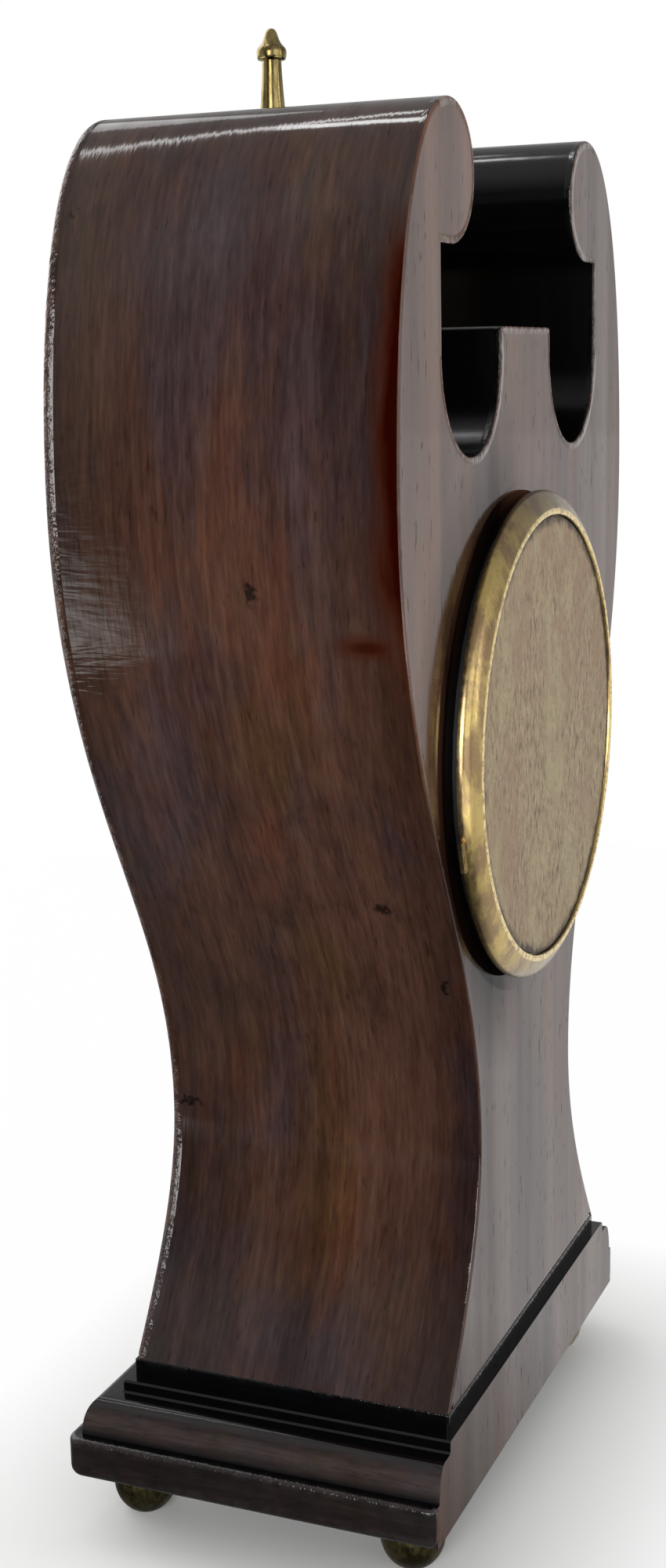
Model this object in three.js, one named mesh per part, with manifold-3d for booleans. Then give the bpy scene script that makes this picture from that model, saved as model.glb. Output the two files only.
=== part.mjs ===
// Balloon mantel clock: a waisted mahogany case on a moulded base and brass bun feet, with a lyre-shaped
// throat between two scrolled ears, a turned brass finial, and a spring-driven movement with a platform
// lever escapement behind a hinged brass back cover. Millimetres, +Z up, the dial faces -Y.
import * as THREE from 'three';
import { mergeVertices } from 'three/addons/utils/BufferGeometryUtils.js';
import Module from 'manifold-3d';

const wasm = await Module();
wasm.setup();

// Fits shared by many pieces
const JOINT_GAP = 0.3;
const RUNNING_GAP = 0.2;
const SEAT_GAP = 0.1;

// Case boards and skins
const CASE_DEPTH = 66.4;
const FRONT_BOARD = 8;
const BACK_BOARD = 6;
const SKIN = 4;
const LINING = 4;
const BOTTOM_BOARD = 6;

// Case outline, from its centre line and its own bottom edge
const CASE_FOOT_HALF = 50;
const FOOT_SWEEP_IN = 10.6;
const FOOT_SWEEP_UP = 15.5;
const WAIST_HALF = 30.2;
const WAIST_HEIGHT = 47;
const WAIST_PULL_LOW = 17;
const WAIST_PULL_HIGH = 42.4;
const BELLY_HALF = 70;
const BELLY_HEIGHT = 172;
const BELLY_PULL_LOW = 57.2;
const BELLY_PULL_HIGH = 39;
const EAR_X = 42.4;
const EAR_HEIGHT = 225.4;
const EAR_RADIUS = 12.1;
const EAR_PULL = 16.9;
const SLOT_X = 31.9;
const SLOT_HALF = 16.3;
const SLOT_CURVE_HEIGHT = 195;
const SLOT_DROP = 18;
const TONGUE_HEIGHT = 200;
const OUTLINE_STEPS = 12;

// Base, from the floor up
const FOOT_HEIGHT = 12;
const PLINTH_HEIGHT = 8.5;
const OVOLO_HEIGHT = 7;
const FILLET_HEIGHT = 2.5;
const STRIP_HEIGHT = 3.2;
const PLINTH_HALF = 62.4;
const PLINTH_FRONT_STEP = 9.7;
const BASE_BACK_STEP = 1.5;
const PLINTH_CORNER = 3;
const MOULDING_DEPTH = 14;
const OVOLO_INSET = 2.6;
const OVOLO_TOP_INSET = 5.7;
const FILLET_INSET = 8.9;
const FOOT_RADIUS = 6.4;
const FOOT_BELLY_HEIGHT = 6.2;
const FOOT_FLAT_RADIUS = 3;
const FOOT_NECK_RADIUS = 4.6;
const FOOT_SIDE_INSET = 14.7;
const FOOT_END_INSET = 9.9;
const STUD_RADIUS = 1.6;
const STUD_LENGTH = 6;

// Finial on the tongue
const FINIAL_Y = -18.5;
const FINIAL_BASE_RADIUS = 8.2;
const FINIAL_BASE_HEIGHT = 1.6;
const FINIAL_BASE_SLOPE = 1.2;
const FINIAL_THROAT_RADIUS = 5.4;
const FINIAL_THROAT_HEIGHT = 2.6;
const FINIAL_COLLAR_RADIUS = 7.2;
const FINIAL_COLLAR_HEIGHT = 1.6;
const FINIAL_SPIRE_RADIUS = 6.4;
const FINIAL_NECK_RADIUS = 1.9;
const FINIAL_BULB_RADIUS = 2.95;
const FINIAL_SPIRE_HEIGHT = 40.8;
const FINIAL_BULB_HEIGHT = 6;

// Drum: bezel, glass, dial and the holes they go through
const DRUM_HEIGHT = 121.2;
const BACK_HOLE_RADIUS = 41;
const BEZEL_OVERLAP = 4.5;
const BEZEL_STAND = 3.6;
const BEZEL_LIP = 2.2;
const BEZEL_LIP_STEP = 1.4;
const BEZEL_WALL = 0.9;
const BEZEL_TUBE = 11.2;
const GLASS_THICKNESS = 1.2;
const GLASS_CROWN = 1.7;
const DIAL_RECESS = 4;
const DIAL_THICKNESS = 1;
const DIAL_HOLE_RADIUS = 3.2;
const PAN_THICKNESS = 1;
const PAN_HOLE_RADIUS = 6;
const PAN_FOOT_RADIUS = 1.2;
const PAN_FOOT_INSET = 10;
const MOTION_SPACE = 8.2;
const DRUM_SEGMENTS = 36;

// Back ring, straps, cover and its hinge
const RING_OVERLAP = 4;
const RING_LIP = 2.5;
const RING_THICKNESS = 1.5;
const SPIGOT_DEPTH = 3.2;
const SPIGOT_WALL = 1;
const STRAP_THICKNESS = 1;
const STRAP_HALF_WIDTH = 4;
const STRAP_ROOM = 0.5;
const STRAP_LUG_MARGIN = 2.4;
const STRAP_LUG_THICKNESS = 1.2;
const STRAP_SCREW_INSET = 2.3;
const STRAP_BACK_SHORT = 9.2;
const SCREW_INSET = 1.7;
const SCREW_RADIUS = 1.1;
const SCREW_HEAD_RADIUS = 2.2;
const SCREW_HEAD = 1.2;
const SCREW_TIP = 1.5;
const COVER_OVERHANG = 2.9;
const COVER_STAND = 3.7;
const COVER_BEVEL = 4.7;
const COVER_PANEL_RECESS = 0.65;
const COVER_PANEL_THICKNESS = 0.6;
const COVER_LEDGE = 1;
const THUMB_LIP = 1.3;
const THUMB_LIP_WIDTH = 6;
const THUMB_LIP_ANGLE = -17;
const HINGE_OFFSET = 1.6;
const HINGE_STAND = 1.8;
const KNUCKLE_RADIUS = 1.4;
const KNUCKLE_LENGTH = 5.6;
const OUTER_KNUCKLE_LENGTH = 3.8;
const PIN_RADIUS = 0.7;

// Movement frame
const PLATE_RADIUS = 40;
const PLATE_THICKNESS = 2;
const PILLAR_LENGTH = 28;
const PILLAR_RADIUS = 2.2;
const PILLAR_INSET = 5;
const PILLAR_ANGLES = [20, 160, 215, 318];

// Gear train: teeth, module, and the direction from each arbor to the next
const TOOTH_ADDENDUM = 0.95;
const TOOTH_DEDENDUM = 1.25;
const WHEEL_THICKNESS = 1;
const PINION_LENGTH = 3;
const POWER_MODULE = 0.75;
const BARREL_TEETH = 48;
const BARREL_DISTANCE = 20;
const INTERMEDIATE_PINION = 8;
const INTERMEDIATE_TEETH = 40;
const CENTRE_PINION = 8;
const CENTRE_MODULE = 0.6;
const CENTRE_TEETH = 48;
const THIRD_PINION = 6;
const THIRD_DIRECTION = 120;
const THIRD_MODULE = 0.54;
const THIRD_TEETH = 45;
const FOURTH_PINION = 6;
const FOURTH_DIRECTION = 20;
const FOURTH_MODULE = 0.4;
const FOURTH_TEETH = 60;
const ESCAPE_PINION = 6;
const ESCAPE_DIRECTION = 130;
const ARBOR_RADIUS = 0.9;
const TRAIN_ARBOR_RADIUS = 0.6;
const ESCAPE_ARBOR_RADIUS = 0.45;

// Heights of the wheels behind the front plate
const BARREL_LEVEL = 1.5;
const BARREL_LENGTH = 12;
const BARREL_TOOTH_WIDTH = 2;
const THIRD_LEVEL = 18;
const INTERMEDIATE_LEVEL = 21;
const FOURTH_LEVEL = 21.6;
const CENTRE_LEVEL = 25;

// Barrel, mainspring and winding work
const BARREL_RADIUS = 16.4;
const BARREL_WALL = 1.2;
const BARREL_FLOOR = 1.5;
const BARREL_CAP = 1;
const BARREL_HUB_RADIUS = 4;
const BARREL_PIVOT_RADIUS = 2.3;
const SPRING_TURNS = 4;
const SPRING_BAND = 0.5;
const WINDING_ARBOR_RADIUS = 1.6;
const WINDING_SQUARE = 2.2;
const WINDING_SQUARE_LENGTH = 12;
const RATCHET_RADIUS = 7.2;
const RATCHET_TEETH = 24;
const RATCHET_TOOTH = 0.9;
const RATCHET_THICKNESS = 1.5;
const CLICK_DIRECTION = 45;
const CLICK_DISTANCE = 11.5;
const CLICK_POST_RADIUS = 0.75;
const CLICK_THICKNESS = 1.2;
const CLICK_SPRING_BAND = 0.5;
const CLICK_SPRING_RADIUS = 9;
const KNOB_RADIUS = 4;
const KNOB_LENGTH = 4;
const KNOB_STAND = 7;

// Motion work in front of the front plate, and the hands
const MOTION_MODULE = 0.4;
const CANNON_TEETH = 12;
const MINUTE_WHEEL_TEETH = 36;
const MINUTE_PINION = 10;
const HOUR_WHEEL_TEETH = 40;
const MINUTE_WHEEL_DIRECTION = 200;
const MINUTE_STUD_RADIUS = 0.8;
const CENTRE_ARBOR_RADIUS = 1;
const CANNON_RADIUS = 1.6;
const HOUR_PIPE_RADIUS = 2.5;
const HOUR_HAND_STAND = 2.3;
const MINUTE_HAND_STAND = 3.4;
const HAND_THICKNESS = 0.5;
const HOUR_HAND_LENGTH = 22;
const HOUR_HAND_ANGLE = 305;
const MINUTE_HAND_LENGTH = 33;
const MINUTE_HAND_ANGLE = 60;
const HAND_CAP = 1.4;

// Platform escapement on the back plate
const PLATFORM_THICKNESS = 1.5;
const PLATFORM_HALF_WIDTH = 12.5;
const PLATFORM_HALF_HEIGHT = 10.2;
const PLATFORM_CENTRE = [-10.5, 22.7];
const PLATFORM_CORNER = 3;
const ESCAPE_TEETH = 15;
const ESCAPE_RADIUS = 3.6;
const ESCAPE_TOOTH = 0.9;
const ESCAPE_LEVEL = 2.1;
const ESCAPE_THICKNESS = 0.5;
const LEVER_DIRECTION = 200;
const LEVER_DISTANCE = 5.2;
const PALLET_RADIUS = 4.1;
const PALLET_BAND = 0.8;
const PALLET_SPREAD = 50;
const LEVER_PIVOT_RADIUS = 0.4;
const LEVER_HUB_RADIUS = 0.95;
const LEVER_WIDTH = 0.8;
const BALANCE_DISTANCE = 6.5;
const BALANCE_RADIUS = 7.5;
const BALANCE_RIM = 0.9;
const BALANCE_THICKNESS = 1;
const BALANCE_LEVEL = 4.1;
const BALANCE_ARM = 1;
const STAFF_RADIUS = 0.45;
const ROLLER_RADIUS = 1.5;
const COCK_LEVEL = 6.6;
const COCK_THICKNESS = 1.2;
const COCK_HALF_WIDTH = 2.4;
const COCK_FOOT = 3.2;
const COCK_REACH = 10.2;
const HAIRSPRING_TURNS = 3;
const HAIRSPRING_INNER = 1.3;
const HAIRSPRING_OUTER = 4.2;
const HAIRSPRING_BAND = 0.25;
const HAIRSPRING_HEIGHT = 0.5;
const REGULATOR_BOSS_RADIUS = 0.85;
const REGULATOR_RADIUS = 2;
const REGULATOR_LENGTH = 8;
const REGULATOR_THICKNESS = 0.5;

// Places worked out from the sizes above
const TURN = Math.PI * 2;
const caseFront = -CASE_DEPTH / 2;
const caseBack = CASE_DEPTH / 2;
const hollowFront = caseFront + FRONT_BOARD;
const hollowBack = caseBack - BACK_BOARD;
const plinthTop = FOOT_HEIGHT + PLINTH_HEIGHT;
const baseTop = plinthTop + OVOLO_HEIGHT + FILLET_HEIGHT;
const caseBottom = baseTop + STRIP_HEIGHT;
const plinthFront = caseFront - PLINTH_FRONT_STEP;
const baseBack = caseBack + BASE_BACK_STEP;
const coreHalf = PLINTH_HALF - MOULDING_DEPTH;
const coreFront = plinthFront + MOULDING_DEPTH;
const tongueTop = caseBottom + TONGUE_HEIGHT;
const drumZ = caseBottom + DRUM_HEIGHT;
const slotOuter = SLOT_X + SLOT_HALF;
const slotInner = SLOT_X - SLOT_HALF;
const earUnder = EAR_HEIGHT - EAR_RADIUS;
const strapInner = PLATE_RADIUS + JOINT_GAP;
const strapOuter = strapInner + STRAP_THICKNESS;
const bezelBore = strapOuter + STRAP_ROOM;
const bezelTubeRadius = bezelBore + BEZEL_WALL;
const frontHoleRadius = bezelTubeRadius + JOINT_GAP;
const bezelRadius = frontHoleRadius + BEZEL_OVERLAP;
const bezelLipRadius = bezelBore - BEZEL_LIP;
const pillarCircle = PLATE_RADIUS - PILLAR_INSET;
const panFootCircle = PLATE_RADIUS - PAN_FOOT_INSET;
const spigotOuter = BACK_HOLE_RADIUS - JOINT_GAP;
const spigotInner = spigotOuter - SPIGOT_WALL;
const screwCircle = Math.min(spigotInner - SCREW_INSET, strapInner - STRAP_SCREW_INSET);
const ringOpening = screwCircle - RING_LIP;
const ringRadius = BACK_HOLE_RADIUS + RING_OVERLAP;
const coverRadius = ringRadius + COVER_OVERHANG;
const dialRadius = bezelBore - JOINT_GAP;
const dialFront = caseFront + DIAL_RECESS;
const dialBack = dialFront + DIAL_THICKNESS;
const panBack = dialBack + PAN_THICKNESS;
const frontPlateFront = panBack + MOTION_SPACE;
const frontPlateBack = frontPlateFront + PLATE_THICKNESS;
const backPlateFront = frontPlateBack + PILLAR_LENGTH;
const backPlateBack = backPlateFront + PLATE_THICKNESS;
const ringBack = caseBack + RING_THICKNESS;
const coverFront = ringBack + JOINT_GAP;
const coverBack = coverFront + COVER_STAND;
const panelRadius = coverRadius - COVER_BEVEL;
const panelSeat = coverBack - COVER_PANEL_RECESS - COVER_PANEL_THICKNESS;
const hingeX = -(coverRadius + HINGE_OFFSET);
const hingeY = caseBack + HINGE_STAND;
const platformBack = backPlateBack + PLATFORM_THICKNESS;

function polar(distance, degrees, from = [0, 0]) {
  const angle = THREE.MathUtils.degToRad(degrees);
  return [from[0] + distance * Math.cos(angle), from[1] + distance * Math.sin(angle)];
}

function meshDistance(teeth, otherTeeth, module) {
  return (teeth + otherTeeth) * module / 2;
}

// Arbor places around the centre arbor, as [x, height over the drum's centre]
const centreAt = [0, 0];
const barrelAt = [0, -BARREL_DISTANCE];
const barrelToIntermediate = meshDistance(BARREL_TEETH, INTERMEDIATE_PINION, POWER_MODULE);
const intermediateToCentre = meshDistance(INTERMEDIATE_TEETH, CENTRE_PINION, POWER_MODULE);
const intermediateHeight = (barrelToIntermediate ** 2 - intermediateToCentre ** 2 - BARREL_DISTANCE ** 2)
  / (2 * BARREL_DISTANCE);
const intermediateAt = [
  Math.sqrt(intermediateToCentre ** 2 - intermediateHeight ** 2),
  intermediateHeight,
];
const thirdAt = polar(meshDistance(CENTRE_TEETH, THIRD_PINION, CENTRE_MODULE), THIRD_DIRECTION);
const fourthAt = polar(meshDistance(THIRD_TEETH, FOURTH_PINION, THIRD_MODULE), FOURTH_DIRECTION, thirdAt);
const escapeAt = polar(meshDistance(FOURTH_TEETH, ESCAPE_PINION, FOURTH_MODULE), ESCAPE_DIRECTION, fourthAt);
const leverAt = polar(LEVER_DISTANCE, LEVER_DIRECTION, escapeAt);
const balanceAt = polar(BALANCE_DISTANCE, LEVER_DIRECTION, leverAt);
const motionDistance = meshDistance(CANNON_TEETH, MINUTE_WHEEL_TEETH, MOTION_MODULE);
const minuteWheelAt = polar(motionDistance, MINUTE_WHEEL_DIRECTION);
const hourModule = 2 * motionDistance / (MINUTE_PINION + HOUR_WHEEL_TEETH);
const clickAt = polar(CLICK_DISTANCE, CLICK_DIRECTION, barrelAt);

// Finishes
function finish(color, roughness, metalness) {
  return new THREE.MeshStandardMaterial({ color, roughness, metalness });
}
const mahogany = finish(0x4a2c22, 0.35, 0);
const rawWood = finish(0x6b4a33, 0.8, 0);
const ebonised = finish(0x14110f, 0.3, 0);
const brass = finish(0x9a7b3c, 0.35, 1);
const agedBrass = finish(0x5e5230, 0.45, 1);
const mattPanel = finish(0x93866f, 0.6, 0.4);
const enamel = finish(0xefece2, 0.25, 0);
const clearGlass = finish(0xdfe8ea, 0.05, 0);
const bluedSteel = finish(0x1e2a4a, 0.3, 1);
const steel = finish(0x8c8f94, 0.3, 1);

// A closed mesh with shared vertices and no collapsed triangles
function closed(geometry) {
  geometry.deleteAttribute('normal');
  geometry.deleteAttribute('uv');
  const merged = mergeVertices(geometry, 1e-4);
  const index = merged.getIndex().array;
  const kept = [];
  for (let i = 0; i < index.length; i += 3) {
    const [a, b, c] = [index[i], index[i + 1], index[i + 2]];
    if (a !== b && b !== c && c !== a) kept.push(a, b, c);
  }
  merged.setIndex(kept);
  return merged;
}

function toSolid(geometry) {
  const mesh = closed(geometry);
  const vertProperties = new Float32Array(mesh.getAttribute('position').array);
  const triVerts = new Uint32Array(mesh.getIndex().array);
  return new wasm.Manifold(new wasm.Mesh({ numProp: 3, vertProperties, triVerts }));
}

function fromSolid(solid) {
  const mesh = solid.getMesh();
  const geometry = new THREE.BufferGeometry();
  geometry.setAttribute('position', new THREE.BufferAttribute(new Float32Array(mesh.vertProperties), 3));
  geometry.setIndex(Array.from(mesh.triVerts));
  return geometry;
}

function joined(first, ...others) {
  return fromSolid(others.reduce((solid, other) => solid.add(toSolid(other)), toSolid(first)));
}

function cut(body, ...tools) {
  return fromSolid(tools.reduce((solid, tool) => solid.subtract(toSolid(tool)), toSolid(body)));
}

// An outline in the X-Z plane, made solid from yFront to yBack
function prism(shape, yFront, yBack, curveSegments = 12) {
  const options = { depth: yBack - yFront, bevelEnabled: false, curveSegments };
  const geometry = new THREE.ExtrudeGeometry(shape, options);
  return geometry.rotateX(Math.PI / 2).translate(0, yBack, 0);
}

// A plan outline in the X-Y plane, made solid from zLow to zHigh
function slab(shape, zLow, zHigh, curveSegments = 6) {
  const options = { depth: zHigh - zLow, bevelEnabled: false, curveSegments };
  return new THREE.ExtrudeGeometry(shape, options).translate(0, 0, zLow);
}

function profile(points) {
  return points.map(([radius, along]) => new THREE.Vector2(radius, along));
}

// Turned about the Y axis; the points run anticlockwise with the radius to the right
function turned(points, segments = DRUM_SEGMENTS) {
  return new THREE.LatheGeometry(profile(points), segments);
}

function turnedRing(points, segments = DRUM_SEGMENTS) {
  return turned([...points, points[0]], segments);
}

// Turned about the Z axis
function turnedUpright(points, segments) {
  return turned(points, segments).rotateX(Math.PI / 2);
}

function rod(radius, yFront, yBack, at = centreAt, segments = 16) {
  const points = [[0, yFront], [radius, yFront], [radius, yBack], [0, yBack]];
  return turned(points, segments).translate(at[0], 0, at[1]);
}

function uprightRod(radius, zLow, zHigh, x, y, segments = 12) {
  const points = [[0, zLow], [radius, zLow], [radius, zHigh], [0, zHigh]];
  return turnedUpright(points, segments).translate(x, y, 0);
}

function block(xLow, xHigh, yLow, yHigh, zLow, zHigh) {
  const geometry = new THREE.BoxGeometry(xHigh - xLow, yHigh - yLow, zHigh - zLow);
  return geometry.translate((xLow + xHigh) / 2, (yLow + yHigh) / 2, (zLow + zHigh) / 2);
}

function circlePoints(radius, at, segments) {
  const points = [];
  for (let step = 0; step < segments; step += 1) {
    points.push(new THREE.Vector2(...polar(radius, 360 * step / segments, at)));
  }
  return points;
}

function roundHole(radius, at = centreAt, segments = 10) {
  return new THREE.Path(circlePoints(radius, at, segments).reverse());
}

function discShape(radius, at = centreAt, segments = DRUM_SEGMENTS) {
  return new THREE.Shape(circlePoints(radius, at, segments));
}

const clock = new THREE.Group();
const drum = new THREE.Group();
drum.position.z = drumZ;
clock.add(drum);
// The origin lies under the middle of the whole clock, on the floor
clock.position.y = -(plinthFront + coverBack) / 2;

function piece(name, geometry, material, group = clock) {
  const mesh = new THREE.Mesh(closed(geometry), material);
  mesh.name = name;
  group.add(mesh);
}

// The case's right side from its foot to the ear's underside
function sideCurves() {
  const foot = new THREE.Vector2(CASE_FOOT_HALF, 0);
  const footPull = new THREE.Vector2(CASE_FOOT_HALF - FOOT_SWEEP_IN, FOOT_SWEEP_UP);
  const waist = new THREE.Vector2(WAIST_HALF, WAIST_HEIGHT);
  const waistLow = new THREE.Vector2(WAIST_HALF, WAIST_HEIGHT - WAIST_PULL_LOW);
  const waistHigh = new THREE.Vector2(WAIST_HALF, WAIST_HEIGHT + WAIST_PULL_HIGH);
  const belly = new THREE.Vector2(BELLY_HALF, BELLY_HEIGHT);
  const bellyLow = new THREE.Vector2(BELLY_HALF, BELLY_HEIGHT - BELLY_PULL_LOW);
  const bellyHigh = new THREE.Vector2(BELLY_HALF, BELLY_HEIGHT + BELLY_PULL_HIGH);
  const earTop = new THREE.Vector2(EAR_X, EAR_HEIGHT + EAR_RADIUS);
  const earPull = new THREE.Vector2(EAR_X + EAR_PULL, EAR_HEIGHT + EAR_RADIUS);
  return [
    new THREE.CubicBezierCurve(foot, footPull, waistLow, waist),
    new THREE.CubicBezierCurve(waist, waistHigh, bellyLow, belly),
    new THREE.CubicBezierCurve(belly, bellyHigh, earPull, earTop),
    new THREE.EllipseCurve(EAR_X, EAR_HEIGHT, EAR_RADIUS, EAR_RADIUS, TURN / 4, TURN * 0.75, false),
  ];
}

// Points along the side, pushed inwards by a depth
function sidePoints(depth) {
  const points = [];
  sideCurves().forEach((curve, number) => {
    for (let step = number === 0 ? 0 : 1; step <= OUTLINE_STEPS; step += 1) {
      const share = step / OUTLINE_STEPS;
      const along = curve.getTangent(share);
      const inward = new THREE.Vector2(-along.y, along.x).multiplyScalar(depth);
      points.push(curve.getPoint(share).add(inward));
    }
  });
  return points;
}

// Where the side, pushed inwards, stands at a height near its foot
function sideAt(depth, height) {
  const points = sidePoints(depth);
  const above = points.findIndex((point) => point.y > height);
  const [low, high] = [points[above - 1], points[above]];
  const share = (height - low.y) / (high.y - low.y);
  return new THREE.Vector2(low.x + share * (high.x - low.x), height);
}

function slotCurve(grow, from, to) {
  const halfWidth = SLOT_HALF + grow;
  const drop = SLOT_DROP + grow;
  const curve = new THREE.EllipseCurve(SLOT_X, SLOT_CURVE_HEIGHT, halfWidth, drop, from, to, true);
  return curve.getPoints(OUTLINE_STEPS);
}

// The throat's right wall, from the ear's underside round the slot and up the tongue
function throatPoints(start) {
  return [
    new THREE.Vector2(start, earUnder),
    new THREE.Vector2(slotOuter, earUnder),
    ...slotCurve(0, 0, -Math.PI),
    new THREE.Vector2(slotInner, TONGUE_HEIGHT),
  ];
}

function mirrored(points) {
  return points.map((point) => new THREE.Vector2(-point.x, point.y)).reverse();
}

function boardShape(holeRadius) {
  const half = [...sidePoints(0), ...throatPoints(slotOuter).slice(1)];
  const shape = new THREE.Shape([...half, ...mirrored(half)]);
  shape.holes.push(roundHole(holeRadius, [0, DRUM_HEIGHT], DRUM_SEGMENTS));
  return shape;
}

function skinShape() {
  const inner = sidePoints(SKIN).filter((point) => point.y > 0);
  return [...sidePoints(0), ...inner.reverse(), sideAt(SKIN, 0)];
}

function liningShape() {
  const start = EAR_X + JOINT_GAP;
  const seen = throatPoints(start);
  const hidden = [
    ...slotCurve(LINING, 0, -TURN / 4).reverse(),
    new THREE.Vector2(slotOuter + LINING, earUnder + LINING),
    new THREE.Vector2(start, earUnder + LINING),
  ];
  return new THREE.Shape([...seen, ...mirrored(seen), ...mirrored(hidden), ...hidden]);
}

function makeCase() {
  const lift = (geometry) => geometry.translate(0, 0, caseBottom);
  const front = prism(boardShape(frontHoleRadius), caseFront, hollowFront);
  const back = prism(boardShape(BACK_HOLE_RADIUS), hollowBack, caseBack);
  piece('case_front_board', lift(front), mahogany);
  piece('case_back_board', lift(back), mahogany);
  const skin = skinShape();
  piece('case_side_right', lift(prism(new THREE.Shape(skin), hollowFront, hollowBack)), mahogany);
  piece('case_side_left', lift(prism(new THREE.Shape(mirrored(skin)), hollowFront, hollowBack)), mahogany);
  const studHole = uprightRod(STUD_RADIUS + JOINT_GAP, tongueTop - STUD_LENGTH - JOINT_GAP,
    tongueTop + STUD_LENGTH, 0, FINIAL_Y);
  const lining = lift(prism(liningShape(), hollowFront, hollowBack));
  piece('throat_lining', cut(lining, studHole), mahogany);
  const corners = [sideAt(SKIN, 0), sideAt(SKIN, BOTTOM_BOARD)];
  corners.forEach((corner) => { corner.x -= JOINT_GAP; });
  const bottom = new THREE.Shape([...corners, ...mirrored(corners)]);
  piece('case_bottom_board', lift(prism(bottom, hollowFront, hollowBack)), rawWood);
  const strip = block(-CASE_FOOT_HALF, CASE_FOOT_HALF, caseFront, caseBack, baseTop, caseBottom);
  piece('ebonised_strip', strip, ebonised);
}

const footPlaces = {
  front_left: [-(PLINTH_HALF - FOOT_SIDE_INSET), plinthFront + FOOT_END_INSET],
  front_right: [PLINTH_HALF - FOOT_SIDE_INSET, plinthFront + FOOT_END_INSET],
  back_left: [-(PLINTH_HALF - FOOT_SIDE_INSET), baseBack - FOOT_END_INSET],
  back_right: [PLINTH_HALF - FOOT_SIDE_INSET, baseBack - FOOT_END_INSET],
};

function plinthShape() {
  const shape = new THREE.Shape();
  shape.moveTo(PLINTH_HALF, baseBack);
  shape.lineTo(-PLINTH_HALF, baseBack);
  shape.lineTo(-PLINTH_HALF, plinthFront + PLINTH_CORNER);
  const cornerX = PLINTH_HALF - PLINTH_CORNER;
  const cornerY = plinthFront + PLINTH_CORNER;
  shape.absarc(-cornerX, cornerY, PLINTH_CORNER, TURN / 2, TURN * 0.75, false);
  shape.absarc(cornerX, cornerY, PLINTH_CORNER, TURN * 0.75, TURN, false);
  Object.values(footPlaces).forEach((place) => {
    shape.holes.push(roundHole(STUD_RADIUS + JOINT_GAP, place));
  });
  return shape;
}

// One stick of the base moulding, with its end faces mitred where it turns a corner
function mouldingStick(length, mitreStart, mitreEnd) {
  const ovoloTop = MOULDING_DEPTH - OVOLO_TOP_INSET;
  const ovoloOut = MOULDING_DEPTH - OVOLO_INSET;
  const filletOut = MOULDING_DEPTH - FILLET_INSET;
  const shape = new THREE.Shape();
  shape.moveTo(0, 0);
  shape.lineTo(ovoloOut, 0);
  shape.absellipse(ovoloTop, 0, ovoloOut - ovoloTop, OVOLO_HEIGHT, 0, TURN / 4, false);
  shape.lineTo(filletOut, OVOLO_HEIGHT);
  shape.lineTo(filletOut, OVOLO_HEIGHT + FILLET_HEIGHT);
  shape.lineTo(0, OVOLO_HEIGHT + FILLET_HEIGHT);
  const geometry = slab(shape, 0, length);
  const position = geometry.getAttribute('position');
  for (let i = 0; i < position.count; i += 1) {
    const out = position.getX(i) - SEAT_GAP;
    const along = position.getZ(i);
    if (along < length / 2 && mitreStart) position.setZ(i, along - out);
    if (along > length / 2 && mitreEnd) position.setZ(i, along + out);
  }
  return geometry.rotateX(Math.PI / 2);
}

function footProfile() {
  const low = -Math.acos(FOOT_FLAT_RADIUS / FOOT_RADIUS);
  const high = Math.acos(FOOT_NECK_RADIUS / FOOT_RADIUS);
  const bunHalf = FOOT_BELLY_HEIGHT / Math.sin(-low);
  const steps = 5;
  const points = [[0, 0]];
  for (let step = 0; step <= steps; step += 1) {
    const angle = low + (high - low) * step / steps;
    points.push([FOOT_RADIUS * Math.cos(angle), FOOT_BELLY_HEIGHT + bunHalf * Math.sin(angle)]);
  }
  points[1][1] = 0;
  points.push([FOOT_NECK_RADIUS, FOOT_HEIGHT], [STUD_RADIUS, FOOT_HEIGHT]);
  points.push([STUD_RADIUS, FOOT_HEIGHT + STUD_LENGTH], [0, FOOT_HEIGHT + STUD_LENGTH]);
  return points;
}

function makeBase() {
  piece('base_core', block(-coreHalf, coreHalf, coreFront, baseBack, plinthTop, baseTop), rawWood);
  const sideLength = baseBack - coreFront;
  const right = mouldingStick(sideLength, false, true).translate(coreHalf, baseBack, plinthTop);
  const left = mouldingStick(sideLength, true, false).rotateZ(Math.PI).translate(-coreHalf, coreFront, plinthTop);
  const front = mouldingStick(2 * coreHalf, true, true).rotateZ(-TURN / 4)
    .translate(coreHalf, coreFront, plinthTop);
  piece('base_moulding_right', right, mahogany);
  piece('base_moulding_left', left, mahogany);
  piece('base_moulding_front', front, mahogany);
  piece('plinth', slab(plinthShape(), FOOT_HEIGHT, plinthTop), mahogany);
  Object.entries(footPlaces).forEach(([name, [x, y]]) => {
    piece(`foot_${name}`, turnedUpright(footProfile(), 12).translate(x, y, 0), agedBrass);
  });
}

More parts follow.
